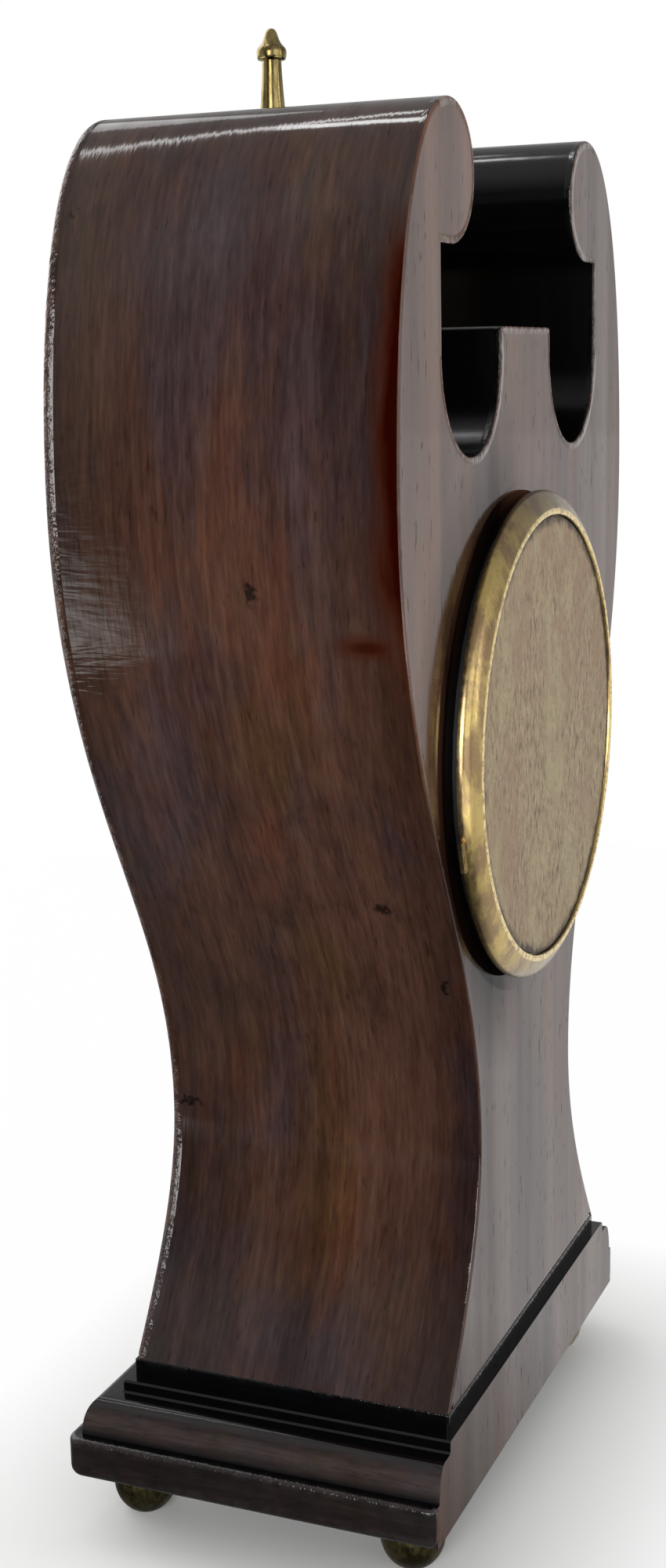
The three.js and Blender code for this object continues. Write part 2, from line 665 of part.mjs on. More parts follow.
function makeFinial() {
  const throatLow = FINIAL_BASE_HEIGHT + FINIAL_BASE_SLOPE * 2;
  const throatHigh = throatLow + FINIAL_THROAT_HEIGHT;
  const collarLow = throatHigh + FINIAL_BASE_SLOPE;
  const collarHigh = collarLow + FINIAL_COLLAR_HEIGHT;
  const spireLow = collarHigh + FINIAL_COLLAR_HEIGHT;
  const points = [
    [0, -STUD_LENGTH], [STUD_RADIUS, -STUD_LENGTH], [STUD_RADIUS, 0],
    [FINIAL_BASE_RADIUS, 0], [FINIAL_BASE_RADIUS, FINIAL_BASE_HEIGHT],
    [(FINIAL_BASE_RADIUS + FINIAL_THROAT_RADIUS) / 2, FINIAL_BASE_HEIGHT + FINIAL_BASE_SLOPE],
    [FINIAL_THROAT_RADIUS, throatLow], [FINIAL_THROAT_RADIUS, throatHigh],
    [FINIAL_COLLAR_RADIUS, collarLow], [FINIAL_COLLAR_RADIUS, collarHigh], [FINIAL_SPIRE_RADIUS, spireLow],
  ];
  const taper = FINIAL_SPIRE_RADIUS - FINIAL_NECK_RADIUS;
  [0.15, 0.35, 0.55, 0.75, 0.9, 1].forEach((share) => {
    const radius = FINIAL_NECK_RADIUS + taper * (1 - share) ** 1.4;
    points.push([radius, spireLow + FINIAL_SPIRE_HEIGHT * share]);
  });
  const bulbLow = spireLow + FINIAL_SPIRE_HEIGHT;
  const acorn = [
    [0.9, 0.03], [0.98, 0.12], [1, 0.26], [0.93, 0.38], [0.66, 0.53], [0.5, 0.68], [0.38, 0.83], [0.25, 0.95], [0, 1],
  ];
  acorn.forEach(([out, up]) => points.push([FINIAL_BULB_RADIUS * out, bulbLow + FINIAL_BULB_HEIGHT * up]));
  piece('finial', turnedUpright(points, 14).translate(0, FINIAL_Y, tongueTop), brass);
}

function makeFront() {
  const lipBack = caseFront - BEZEL_LIP_STEP;
  const crest = caseFront - BEZEL_STAND;
  const shoulder = (bezelRadius + bezelLipRadius) / 2;
  const bezel = turnedRing([
    [bezelBore, lipBack], [bezelLipRadius, lipBack], [bezelLipRadius, (lipBack + crest) / 2],
    [shoulder, crest], [bezelRadius, (caseFront + crest) / 2], [bezelRadius, caseFront],
    [bezelTubeRadius, caseFront], [bezelTubeRadius, caseFront + BEZEL_TUBE],
    [bezelBore, caseFront + BEZEL_TUBE],
  ]);
  piece('front_bezel', bezel, brass, drum);
  const glassFront = lipBack + SEAT_GAP;
  const glassEdge = glassFront + GLASS_THICKNESS;
  const glass = turned([
    [0, glassFront - GLASS_CROWN], [bezelLipRadius / 2, glassFront - GLASS_CROWN * 0.75],
    [bezelLipRadius - SEAT_GAP, glassFront], [dialRadius, glassFront], [dialRadius, glassEdge],
    [bezelLipRadius - SEAT_GAP, glassEdge], [bezelLipRadius / 2, glassEdge - GLASS_CROWN * 0.75],
    [0, glassEdge - GLASS_CROWN],
  ]);
  piece('front_glass', glass, clearGlass, drum);
  const dial = discShape(dialRadius);
  dial.holes.push(roundHole(DIAL_HOLE_RADIUS));
  piece('dial', prism(dial, dialFront, dialBack), enamel, drum);
  const pan = discShape(dialRadius);
  pan.holes.push(roundHole(PAN_HOLE_RADIUS));
  const panFeet = [90, 210, 330].map((degrees) => rod(PAN_FOOT_RADIUS, dialBack, frontPlateFront,
    polar(panFootCircle, degrees), 8));
  piece('dial_pan', joined(prism(pan, dialBack, panBack), ...panFeet), brass, drum);
}

// A toothed outline with pointed teeth, one of them pointing along the phase angle
function toothed(teeth, module, phase, at) {
  const pitchRadius = teeth * module / 2;
  const tip = pitchRadius + TOOTH_ADDENDUM * module;
  const root = pitchRadius - TOOTH_DEDENDUM * module;
  const step = 360 / teeth;
  const points = [];
  for (let tooth = 0; tooth < teeth; tooth += 1) {
    const middle = phase + tooth * step;
    points.push(polar(tip, middle, at), polar(root, middle + step / 2, at));
  }
  return new THREE.Shape(points.map(([x, z]) => new THREE.Vector2(x, z)));
}

function directionTo(from, to) {
  return THREE.MathUtils.radToDeg(Math.atan2(to[1] - from[1], to[0] - from[0]));
}

// A wheel has a tooth on the line to its pinion, and the pinion has a gap there
function wheelFor(teeth, module, at, pinionAt, yFront, thickness = WHEEL_THICKNESS) {
  return prism(toothed(teeth, module, directionTo(at, pinionAt), at), yFront, yFront + thickness);
}

function pinionFor(teeth, module, at, wheelAt, yFront, length = PINION_LENGTH) {
  const phase = directionTo(at, wheelAt) + 180 / teeth;
  return prism(toothed(teeth, module, phase, at), yFront, yFront + length);
}

function plateShape(arbors) {
  const plate = discShape(PLATE_RADIUS);
  arbors.forEach(([at, radius]) => {
    plate.holes.push(roundHole(radius + RUNNING_GAP, at));
  });
  return plate;
}

const trainArbors = [
  [centreAt, CENTRE_ARBOR_RADIUS],
  [barrelAt, WINDING_ARBOR_RADIUS],
  [intermediateAt, ARBOR_RADIUS],
  [thirdAt, TRAIN_ARBOR_RADIUS],
  [fourthAt, TRAIN_ARBOR_RADIUS],
  [escapeAt, ESCAPE_ARBOR_RADIUS],
];

function makeFrame() {
  const front = prism(plateShape(trainArbors), frontPlateFront, frontPlateBack);
  const studEnd = panBack + PAN_THICKNESS;
  const minuteStud = rod(MINUTE_STUD_RADIUS, studEnd, frontPlateBack, minuteWheelAt, 10);
  piece('front_plate', joined(front, minuteStud), brass, drum);
  const back = prism(plateShape(trainArbors), backPlateFront, backPlateBack);
  const clickPost = rod(CLICK_POST_RADIUS, backPlateFront, backPlateBack + CLICK_THICKNESS + 1, clickAt, 10);
  piece('back_plate', joined(back, clickPost), brass, drum);
  PILLAR_ANGLES.forEach((degrees, number) => {
    const pillar = rod(PILLAR_RADIUS, frontPlateBack, backPlateFront, polar(pillarCircle, degrees), 12);
    piece(`pillar_${number + 1}`, pillar, brass, drum);
  });
}

function spiralShape(inner, outer, band, turns, stepsPerTurn, at) {
  const steps = turns * stepsPerTurn;
  const inside = [];
  const outside = [];
  for (let step = 0; step <= steps; step += 1) {
    const radius = inner + (outer - inner) * step / steps;
    const degrees = 360 * step / stepsPerTurn;
    inside.push(new THREE.Vector2(...polar(radius, degrees, at)));
    outside.push(new THREE.Vector2(...polar(radius + band, degrees, at)));
  }
  return new THREE.Shape([...inside, ...outside.reverse()]);
}

function makeBarrel() {
  const front = frontPlateBack + BARREL_LEVEL;
  const back = front + BARREL_LENGTH;
  const bore = BARREL_RADIUS - BARREL_WALL;
  const pivotHole = BARREL_PIVOT_RADIUS + RUNNING_GAP;
  const floor = front + BARREL_FLOOR;
  const cup = turnedRing([
    [pivotHole, front], [BARREL_RADIUS, front], [BARREL_RADIUS, back], [bore, back], [bore, floor],
    [pivotHole, floor],
  ], 28).translate(barrelAt[0], 0, barrelAt[1]);
  const phase = directionTo(barrelAt, intermediateAt);
  const teeth = toothed(BARREL_TEETH, POWER_MODULE, phase, barrelAt);
  teeth.holes.push(roundHole((bore + BARREL_RADIUS) / 2, barrelAt, 28));
  const toothRing = prism(teeth, back - BARREL_TOOTH_WIDTH, back);
  piece('barrel', joined(cup, toothRing), brass, drum);
  const capBack = back - RUNNING_GAP;
  const capFront = capBack - BARREL_CAP;
  const cap = turnedRing([
    [pivotHole, capFront], [bore - RUNNING_GAP, capFront], [bore - RUNNING_GAP, capBack], [pivotHole, capBack],
  ], 28).translate(barrelAt[0], 0, barrelAt[1]);
  piece('barrel_cap', cap, brass, drum);
  const springOuter = bore - RUNNING_GAP - SPRING_BAND;
  const spring = spiralShape(BARREL_HUB_RADIUS + 1, springOuter, SPRING_BAND, SPRING_TURNS, 14, barrelAt);
  piece('mainspring', prism(spring, floor + JOINT_GAP, capFront - JOINT_GAP), steel, drum);

  const squareFront = backPlateBack + RATCHET_THICKNESS + 2 * JOINT_GAP;
  const arbor = turned([
    [0, frontPlateFront], [WINDING_ARBOR_RADIUS, frontPlateFront],
    [WINDING_ARBOR_RADIUS, frontPlateBack + JOINT_GAP], [BARREL_PIVOT_RADIUS, frontPlateBack + JOINT_GAP],
    [BARREL_PIVOT_RADIUS, floor + JOINT_GAP], [BARREL_HUB_RADIUS, floor + JOINT_GAP],
    [BARREL_HUB_RADIUS, capFront - JOINT_GAP], [BARREL_PIVOT_RADIUS, capFront - JOINT_GAP],
    [BARREL_PIVOT_RADIUS, back + BARREL_LEVEL], [WINDING_ARBOR_RADIUS, back + BARREL_LEVEL],
    [WINDING_ARBOR_RADIUS, squareFront], [0, squareFront],
  ], 16).translate(barrelAt[0], 0, barrelAt[1]);
  const half = WINDING_SQUARE / 2;
  const square = block(-half, half, squareFront - 1, squareFront + WINDING_SQUARE_LENGTH,
    barrelAt[1] - half, barrelAt[1] + half);
  piece('winding_arbor', joined(arbor, square), steel, drum);

  const ratchetFront = backPlateBack + JOINT_GAP;
  const ratchet = sawToothed(RATCHET_TEETH, RATCHET_RADIUS, RATCHET_TOOTH, barrelAt);
  ratchet.holes.push(roundHole(WINDING_ARBOR_RADIUS + SEAT_GAP, barrelAt));
  piece('ratchet_wheel', prism(ratchet, ratchetFront, ratchetFront + RATCHET_THICKNESS), steel, drum);
}

function sawToothed(teeth, tip, depth, at) {
  const step = 360 / teeth;
  const points = [];
  for (let tooth = 0; tooth < teeth; tooth += 1) {
    points.push(polar(tip, tooth * step, at), polar(tip - depth, (tooth + 0.15) * step, at));
  }
  return new THREE.Shape(points.map(([x, z]) => new THREE.Vector2(x, z)));
}

// A pawl whose nose lies just clear of the ratchet's tips, and the strip spring behind it
function makeClick() {
  const front = backPlateBack + JOINT_GAP;
  const back = front + CLICK_THICKNESS;
  const hub = CLICK_POST_RADIUS + 1.1;
  const noseAt = polar(RATCHET_RADIUS + JOINT_GAP, CLICK_DIRECTION + 30, barrelAt);
  const toNose = directionTo(clickAt, noseAt);
  const nose = new THREE.Shape([
    polar(hub, toNose + 75, clickAt), noseAt, polar(1.2, CLICK_DIRECTION + 40, noseAt),
    polar(hub, toNose - 75, clickAt),
  ].map(([x, z]) => new THREE.Vector2(x, z)));
  const body = joined(prism(discShape(hub, clickAt, 12), front, back), prism(nose, front, back));
  const bore = rod(CLICK_POST_RADIUS + RUNNING_GAP, front - 1, back + 1, clickAt, 10);
  piece('click', cut(body, bore), steel, drum);
  const bendAt = polar(hub + JOINT_GAP + CLICK_SPRING_RADIUS + CLICK_SPRING_BAND, CLICK_DIRECTION - 20, clickAt);
  const spring = new THREE.Shape();
  const facing = THREE.MathUtils.degToRad(CLICK_DIRECTION + 160);
  spring.absarc(...bendAt, CLICK_SPRING_RADIUS, facing - 0.9, facing + 0.25, false);
  spring.absarc(...bendAt, CLICK_SPRING_RADIUS + CLICK_SPRING_BAND, facing + 0.25, facing - 0.9, true);
  piece('click_spring', prism(spring, backPlateBack, back, 8), steel, drum);
}

function makeTrain() {
  const behind = (level) => frontPlateBack + level;
  const barrelTeeth = behind(BARREL_LEVEL + BARREL_LENGTH - BARREL_TOOTH_WIDTH);
  const intermediate = joined(
    rod(ARBOR_RADIUS, frontPlateFront, backPlateBack, intermediateAt, 10),
    pinionFor(INTERMEDIATE_PINION, POWER_MODULE, intermediateAt, barrelAt, barrelTeeth - 0.5),
    wheelFor(INTERMEDIATE_TEETH, POWER_MODULE, intermediateAt, centreAt, behind(INTERMEDIATE_LEVEL)),
  );
  piece('intermediate_wheel', intermediate, brass, drum);
  const knobFront = backPlateBack + KNOB_STAND;
  const centre = joined(
    rod(CENTRE_ARBOR_RADIUS, dialFront - MINUTE_HAND_STAND, knobFront + 1, centreAt, 12),
    pinionFor(CENTRE_PINION, POWER_MODULE, centreAt, intermediateAt, behind(INTERMEDIATE_LEVEL - 1)),
    wheelFor(CENTRE_TEETH, CENTRE_MODULE, centreAt, thirdAt, behind(CENTRE_LEVEL)),
  );
  piece('centre_wheel', centre, brass, drum);
  const knob = turned([
    [0, knobFront + 1 + SEAT_GAP], [CENTRE_ARBOR_RADIUS + SEAT_GAP, knobFront + 1 + SEAT_GAP],
    [CENTRE_ARBOR_RADIUS + SEAT_GAP, knobFront], [KNOB_RADIUS - 0.6, knobFront], [KNOB_RADIUS, knobFront + 0.6],
    [KNOB_RADIUS, knobFront + KNOB_LENGTH - 0.6], [KNOB_RADIUS - 0.6, knobFront + KNOB_LENGTH],
    [0, knobFront + KNOB_LENGTH],
  ], 20);
  piece('hand_setting_knob', knob, brass, drum);
  const third = joined(
    rod(TRAIN_ARBOR_RADIUS, frontPlateFront, backPlateBack, thirdAt, 10),
    pinionFor(THIRD_PINION, CENTRE_MODULE, thirdAt, centreAt, behind(CENTRE_LEVEL - 1)),
    wheelFor(THIRD_TEETH, THIRD_MODULE, thirdAt, fourthAt, behind(THIRD_LEVEL)),
  );
  piece('third_wheel', third, brass, drum);
  const fourth = joined(
    rod(TRAIN_ARBOR_RADIUS, frontPlateFront, backPlateBack, fourthAt, 10),
    pinionFor(FOURTH_PINION, THIRD_MODULE, fourthAt, thirdAt, behind(THIRD_LEVEL - 1)),
    wheelFor(FOURTH_TEETH, FOURTH_MODULE, fourthAt, escapeAt, behind(FOURTH_LEVEL)),
  );
  piece('fourth_wheel', fourth, brass, drum);
}

function makeMotionWork() {
  const handFront = dialFront - MINUTE_HAND_STAND;
  const cannonBack = frontPlateFront - JOINT_GAP;
  const cannonTeethFront = cannonBack - PINION_LENGTH;
  const cannonBore = rod(CENTRE_ARBOR_RADIUS + SEAT_GAP, handFront - 1, frontPlateFront, centreAt, 12);
  const cannon = joined(
    rod(CANNON_RADIUS, handFront, cannonBack, centreAt, 14),
    pinionFor(CANNON_TEETH, MOTION_MODULE, centreAt, minuteWheelAt, cannonTeethFront),
  );
  piece('cannon_pinion', cut(cannon, cannonBore), steel, drum);
  const minuteBack = cannonBack - 1;
  const minuteWheelFront = minuteBack - WHEEL_THICKNESS;
  const minuteWheel = joined(
    prism(toothed(MINUTE_WHEEL_TEETH, MOTION_MODULE, directionTo(minuteWheelAt, centreAt), minuteWheelAt),
      minuteWheelFront, minuteBack),
    pinionFor(MINUTE_PINION, hourModule, minuteWheelAt, centreAt, minuteWheelFront - PINION_LENGTH),
  );
  const studBore = rod(MINUTE_STUD_RADIUS + RUNNING_GAP, panBack, frontPlateFront, minuteWheelAt, 10);
  piece('minute_wheel', cut(minuteWheel, studBore), brass, drum);
  const hourBack = cannonTeethFront - 2 * JOINT_GAP;
  const hourFront = hourBack - WHEEL_THICKNESS;
  const pipeFront = dialFront - HOUR_HAND_STAND;
  const hour = joined(
    rod(HOUR_PIPE_RADIUS, pipeFront, hourBack, centreAt, 16),
    prism(toothed(HOUR_WHEEL_TEETH, hourModule, MINUTE_WHEEL_DIRECTION, centreAt), hourFront, hourBack),
  );
  const pipeBore = rod(CANNON_RADIUS + RUNNING_GAP, pipeFront - 1, hourBack + 1, centreAt, 14);
  piece('hour_wheel', cut(hour, pipeBore), brass, drum);
}

// A leaf-shaped hand pointing up, turned clockwise from twelve as the dial shows it
function handShape(bossRadius, length, halfWidth) {
  const shape = new THREE.Shape();
  const tail = bossRadius * 0.9;
  shape.moveTo(-halfWidth * 0.35, tail);
  shape.lineTo(-halfWidth * 0.35, length * 0.45);
  shape.quadraticCurveTo(-halfWidth * 1.6, length * 0.66, 0, length);
  shape.quadraticCurveTo(halfWidth * 1.6, length * 0.66, halfWidth * 0.35, length * 0.45);
  shape.lineTo(halfWidth * 0.35, tail);
  return shape;
}

function makeHands() {
  const clockwise = (geometry, degrees) => geometry.rotateY(THREE.MathUtils.degToRad(degrees));
  const hourBack = dialFront - HOUR_HAND_STAND + HAND_THICKNESS;
  const hourFront = hourBack - HAND_THICKNESS;
  const hourBoss = HOUR_PIPE_RADIUS + 1;
  const hourBlade = prism(handShape(hourBoss, HOUR_HAND_LENGTH, 2), hourFront, hourBack, 6);
  const hourBore = rod(HOUR_PIPE_RADIUS + SEAT_GAP, hourFront - 1, hourBack + 1, centreAt, 16);
  const hour = cut(joined(rod(hourBoss, hourFront, hourBack, centreAt, 20), hourBlade), hourBore);
  piece('hour_hand', clockwise(hour, HOUR_HAND_ANGLE), bluedSteel, drum);
  const minuteFront = dialFront - MINUTE_HAND_STAND;
  const minuteBack = minuteFront + HAND_THICKNESS;
  const minuteBoss = CANNON_RADIUS + 1;
  const blade = prism(handShape(minuteBoss, MINUTE_HAND_LENGTH, 1.6), minuteFront, minuteBack, 6);
  const boss = rod(minuteBoss, minuteFront - HAND_CAP, minuteBack, centreAt, 20);
  const bore = rod(CANNON_RADIUS + SEAT_GAP, minuteFront - SEAT_GAP, minuteBack + 1, centreAt, 14);
  const minute = cut(joined(boss, blade), bore);
  piece('minute_hand', clockwise(minute, MINUTE_HAND_ANGLE), bluedSteel, drum);
}

function makeEscapement() {
  const [x, z] = PLATFORM_CENTRE;
  const right = x + PLATFORM_HALF_WIDTH;
  const left = x - PLATFORM_HALF_WIDTH;
  const top = z + PLATFORM_HALF_HEIGHT;
  const bottom = z - PLATFORM_HALF_HEIGHT;
  const plate = new THREE.Shape();
  plate.absarc(right - PLATFORM_CORNER, top - PLATFORM_CORNER, PLATFORM_CORNER, 0, TURN / 4, false);
  plate.absarc(left + PLATFORM_CORNER, top - PLATFORM_CORNER, PLATFORM_CORNER, TURN / 4, TURN / 2, false);
  plate.lineTo(left, bottom);
  plate.lineTo(right, bottom);
  plate.holes.push(roundHole(ESCAPE_ARBOR_RADIUS + RUNNING_GAP, escapeAt));
  plate.holes.push(roundHole(STAFF_RADIUS + RUNNING_GAP, balanceAt));
  const escapeFront = platformBack + ESCAPE_LEVEL;
  const escapeBack = escapeFront + ESCAPE_THICKNESS;
  const leverPost = rod(LEVER_PIVOT_RADIUS, backPlateBack, escapeBack + 0.6, leverAt, 8);
  piece('platform', joined(prism(plate, backPlateBack, platformBack, 6), leverPost), brass, drum);

  const escapeTeeth = sawToothed(ESCAPE_TEETH, ESCAPE_RADIUS, ESCAPE_TOOTH, escapeAt);
  const pinionFront = frontPlateBack + FOURTH_LEVEL - 1;
  const escape = joined(
    rod(ESCAPE_ARBOR_RADIUS, frontPlateFront, escapeBack + 0.6, escapeAt, 8),
    pinionFor(ESCAPE_PINION, FOURTH_MODULE, escapeAt, fourthAt, pinionFront),
    prism(escapeTeeth, escapeFront, escapeBack),
  );
  piece('escape_wheel', escape, steel, drum);

  const facing = THREE.MathUtils.degToRad(LEVER_DIRECTION);
  const spread = THREE.MathUtils.degToRad(PALLET_SPREAD);
  const anchor = new THREE.Shape();
  anchor.absarc(...escapeAt, PALLET_RADIUS, facing + spread, facing - spread, true);
  anchor.absarc(...escapeAt, PALLET_RADIUS + PALLET_BAND, facing - spread, facing + spread, false);
  const reach = BALANCE_DISTANCE - ROLLER_RADIUS - JOINT_GAP;
  const bar = block(0, reach, escapeFront, escapeBack, -LEVER_WIDTH / 2, LEVER_WIDTH / 2)
    .rotateY(-facing).translate(leverAt[0], 0, leverAt[1]);
  const leverBody = joined(prism(anchor, escapeFront, escapeBack, 8),
    prism(discShape(LEVER_HUB_RADIUS, leverAt, 10), escapeFront, escapeBack), bar);
  const leverBore = rod(LEVER_PIVOT_RADIUS + RUNNING_GAP, escapeFront - 1, escapeBack + 1, leverAt, 8);
  piece('pallet_lever', cut(leverBody, leverBore), steel, drum);

  const balanceFront = platformBack + BALANCE_LEVEL;
  const balanceBack = balanceFront + BALANCE_THICKNESS;
  const cockFront = platformBack + COCK_LEVEL;
  const cockBack = cockFront + COCK_THICKNESS;
  const rim = discShape(BALANCE_RADIUS, balanceAt, 24);
  rim.holes.push(roundHole(BALANCE_RADIUS - BALANCE_RIM, balanceAt, 24));
  const armHalf = BALANCE_RADIUS - BALANCE_RIM / 2;
  const arm = block(-armHalf, armHalf, balanceFront, balanceBack, -BALANCE_ARM / 2, BALANCE_ARM / 2)
    .translate(balanceAt[0], 0, balanceAt[1]);
  const balance = joined(
    prism(rim, balanceFront, balanceBack), arm,
    rod(STAFF_RADIUS, backPlateBack + RUNNING_GAP, cockBack, balanceAt, 8),
    rod(ROLLER_RADIUS, escapeFront, escapeBack, balanceAt, 14),
  );
  piece('balance_wheel', balance, brass, drum);

  const footTop = balanceAt[1] - COCK_REACH + COCK_FOOT / 2;
  const arch = new THREE.Shape();
  arch.absarc(...balanceAt, COCK_HALF_WIDTH, 0, Math.PI, false);
  arch.lineTo(balanceAt[0] - COCK_HALF_WIDTH, footTop - COCK_FOOT);
  arch.lineTo(balanceAt[0] + COCK_HALF_WIDTH, footTop - COCK_FOOT);
  const footBlock = block(balanceAt[0] - COCK_HALF_WIDTH, balanceAt[0] + COCK_HALF_WIDTH, platformBack, cockBack,
    footTop - COCK_FOOT, footTop);
  const boss = rod(REGULATOR_BOSS_RADIUS, cockFront, cockBack + REGULATOR_THICKNESS + RUNNING_GAP, balanceAt, 10);
  const staffHole = rod(STAFF_RADIUS + RUNNING_GAP, cockFront - 1, cockBack + RUNNING_GAP, balanceAt, 8);
  piece('balance_cock', cut(joined(prism(arch, cockFront, cockBack, 8), footBlock, boss), staffHole), brass, drum);

  const springBack = cockFront - RUNNING_GAP;
  const spring = spiralShape(HAIRSPRING_INNER, HAIRSPRING_OUTER, HAIRSPRING_BAND, HAIRSPRING_TURNS, 14, balanceAt);
  piece('hairspring', prism(spring, springBack - HAIRSPRING_HEIGHT, springBack), bluedSteel, drum);

  const indexFront = cockBack + SEAT_GAP;
  const indexBack = indexFront + REGULATOR_THICKNESS;
  const pointer = block(-0.5, 0.5, indexFront, indexBack, 0, REGULATOR_LENGTH)
    .translate(balanceAt[0], 0, balanceAt[1]);
  const indexBore = rod(REGULATOR_BOSS_RADIUS + RUNNING_GAP, indexFront - 1, indexBack + 1, balanceAt, 10);
  const index = joined(prism(discShape(REGULATOR_RADIUS, balanceAt, 14), indexFront, indexBack), pointer);
  piece('regulator', cut(index, indexBore), steel, drum);
}

// A hinge knuckle about the pin's line, which runs along Z
function knuckle(zLow, zHigh) {
  return uprightRod(KNUCKLE_RADIUS, zLow, zHigh, hingeX, hingeY, 14);
}

function makeBack() {
  const half = KNUCKLE_LENGTH / 2;
  const outerLow = half + RUNNING_GAP;
  const outerHigh = outerLow + OUTER_KNUCKLE_LENGTH;
  const pinHole = uprightRod(PIN_RADIUS + RUNNING_GAP, -outerHigh - 1, outerHigh + 1, hingeX, hingeY, 12);
  const ring = turnedRing([
    [ringOpening, caseBack], [spigotInner, caseBack], [spigotInner, caseBack - SPIGOT_DEPTH],
    [spigotOuter, caseBack - SPIGOT_DEPTH], [spigotOuter, caseBack], [ringRadius, caseBack],
    [ringRadius, ringBack], [ringOpening, ringBack],
  ]);
  const lugFront = caseBack + JOINT_GAP;
  const hingeLeaf = [-1, 1].flatMap((side) => {
    const [low, high] = side > 0 ? [outerLow, outerHigh] : [-outerHigh, -outerLow];
    return [block(hingeX, -(ringRadius - 2), lugFront, ringBack, low, high), knuckle(low, high)];
  });
  const screwHoles = [-1, 1].map((side) => rod(SCREW_RADIUS + JOINT_GAP, caseBack - 1, ringBack + 1,
    [side * screwCircle, 0], 12));
  piece('back_ring', cut(joined(ring, ...hingeLeaf), pinHole, ...screwHoles), brass, drum);
  piece('cover_hinge_pin', uprightRod(PIN_RADIUS, -outerHigh - 0.5, outerHigh + 0.5, hingeX, hingeY), steel, drum);

  const strapBack = caseBack - STRAP_BACK_SHORT;
  const strapFront = panBack + SEAT_GAP;
  ['left', 'right'].forEach((name, number) => {
    const side = number === 0 ? -1 : 1;
    const ordered = (a, b) => (side > 0 ? [a, b] : [-b, -a]);
    const bar = block(...ordered(strapInner, strapOuter), strapFront, strapBack, -STRAP_HALF_WIDTH, STRAP_HALF_WIDTH);
    const lug = block(...ordered(screwCircle - STRAP_LUG_MARGIN, strapOuter), strapBack - STRAP_LUG_THICKNESS, strapBack,
      -STRAP_HALF_WIDTH, STRAP_HALF_WIDTH);
    const at = [side * screwCircle, 0];
    const hole = rod(SCREW_RADIUS + SEAT_GAP, strapBack - STRAP_LUG_THICKNESS - 1, strapBack + 1, at, 12);
    piece(`strap_${name}`, cut(joined(bar, lug), hole), brass, drum);
    const screwFront = strapBack - STRAP_LUG_THICKNESS - SCREW_TIP;
    const screw = turned([
      [0, screwFront], [SCREW_RADIUS, screwFront], [SCREW_RADIUS, ringBack], [SCREW_HEAD_RADIUS, ringBack],
      [SCREW_HEAD_RADIUS, ringBack + SCREW_HEAD], [0, ringBack + SCREW_HEAD],
    ], 12).translate(at[0], 0, 0);
    piece(`strap_screw_${name}`, screw, steel, drum);
  });

  const ledge = panelRadius - COVER_LEDGE;
  const rim = turnedRing([
    [ledge, panelSeat - COVER_LEDGE], [coverRadius - 2.6, coverFront + 1.2], [coverRadius - 1.3, coverFront],
    [coverRadius, coverFront], [coverRadius - 0.1, coverFront + COVER_STAND * 0.3],
    [coverRadius - COVER_BEVEL * 0.28, coverFront + COVER_STAND * 0.72],
    [coverRadius - COVER_BEVEL * 0.7, coverFront + COVER_STAND * 0.97],
    [panelRadius, coverBack], [panelRadius, panelSeat], [ledge, panelSeat],
  ]);
  const leaf = block(hingeX, -(coverRadius - 1.2), coverFront + SEAT_GAP, coverFront + 1.1, -half, half);
  const lip = block(coverRadius - 0.8, coverRadius + THUMB_LIP, coverFront + SEAT_GAP, coverFront + 1.1,
    -THUMB_LIP_WIDTH / 2, THUMB_LIP_WIDTH / 2).rotateY(-THREE.MathUtils.degToRad(THUMB_LIP_ANGLE));
  piece('back_cover_rim', cut(joined(rim, leaf, knuckle(-half, half), lip), pinHole), brass, drum);
  const panel = turned([
    [0, panelSeat], [panelRadius - RUNNING_GAP, panelSeat],
    [panelRadius - RUNNING_GAP, panelSeat + COVER_PANEL_THICKNESS], [0, panelSeat + COVER_PANEL_THICKNESS],
  ]);
  piece('back_cover_panel', panel, mattPanel, drum);
}

makeCase();
makeBase();
makeFinial();
makeFront();
makeFrame();
makeBarrel();
makeClick();
makeTrain();
makeMotionWork();
makeHands();
makeEscapement();
makeBack();

export default clock;
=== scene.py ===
"""Looks of the balloon mantel clock: wood, brass, dial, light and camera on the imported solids."""
from math import acos, cos, hypot, pi, radians, sin, tau

import bmesh
import bpy
from mathutils import Matrix, Vector
from mathutils.geometry import tessellate_polygon


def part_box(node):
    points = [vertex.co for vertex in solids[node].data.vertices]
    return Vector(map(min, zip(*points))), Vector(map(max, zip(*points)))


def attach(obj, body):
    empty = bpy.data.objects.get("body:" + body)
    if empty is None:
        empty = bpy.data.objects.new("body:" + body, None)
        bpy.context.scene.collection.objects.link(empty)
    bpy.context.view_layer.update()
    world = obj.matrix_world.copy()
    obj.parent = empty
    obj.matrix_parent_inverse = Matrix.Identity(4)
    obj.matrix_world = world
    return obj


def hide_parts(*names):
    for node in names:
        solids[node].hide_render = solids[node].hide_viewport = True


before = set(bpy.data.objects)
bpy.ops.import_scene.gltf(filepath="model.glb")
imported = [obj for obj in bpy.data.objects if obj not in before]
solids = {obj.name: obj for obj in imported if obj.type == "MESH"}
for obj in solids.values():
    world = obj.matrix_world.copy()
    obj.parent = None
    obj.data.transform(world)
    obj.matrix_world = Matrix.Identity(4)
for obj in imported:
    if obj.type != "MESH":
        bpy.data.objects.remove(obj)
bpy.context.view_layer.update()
scene = bpy.context.scene

MM = 0.001
QUARTER = pi / 2

# Steps round the turned pieces
DRUM_STEPS = 160
SMALL_STEPS = 64
PIN_STEPS = 32

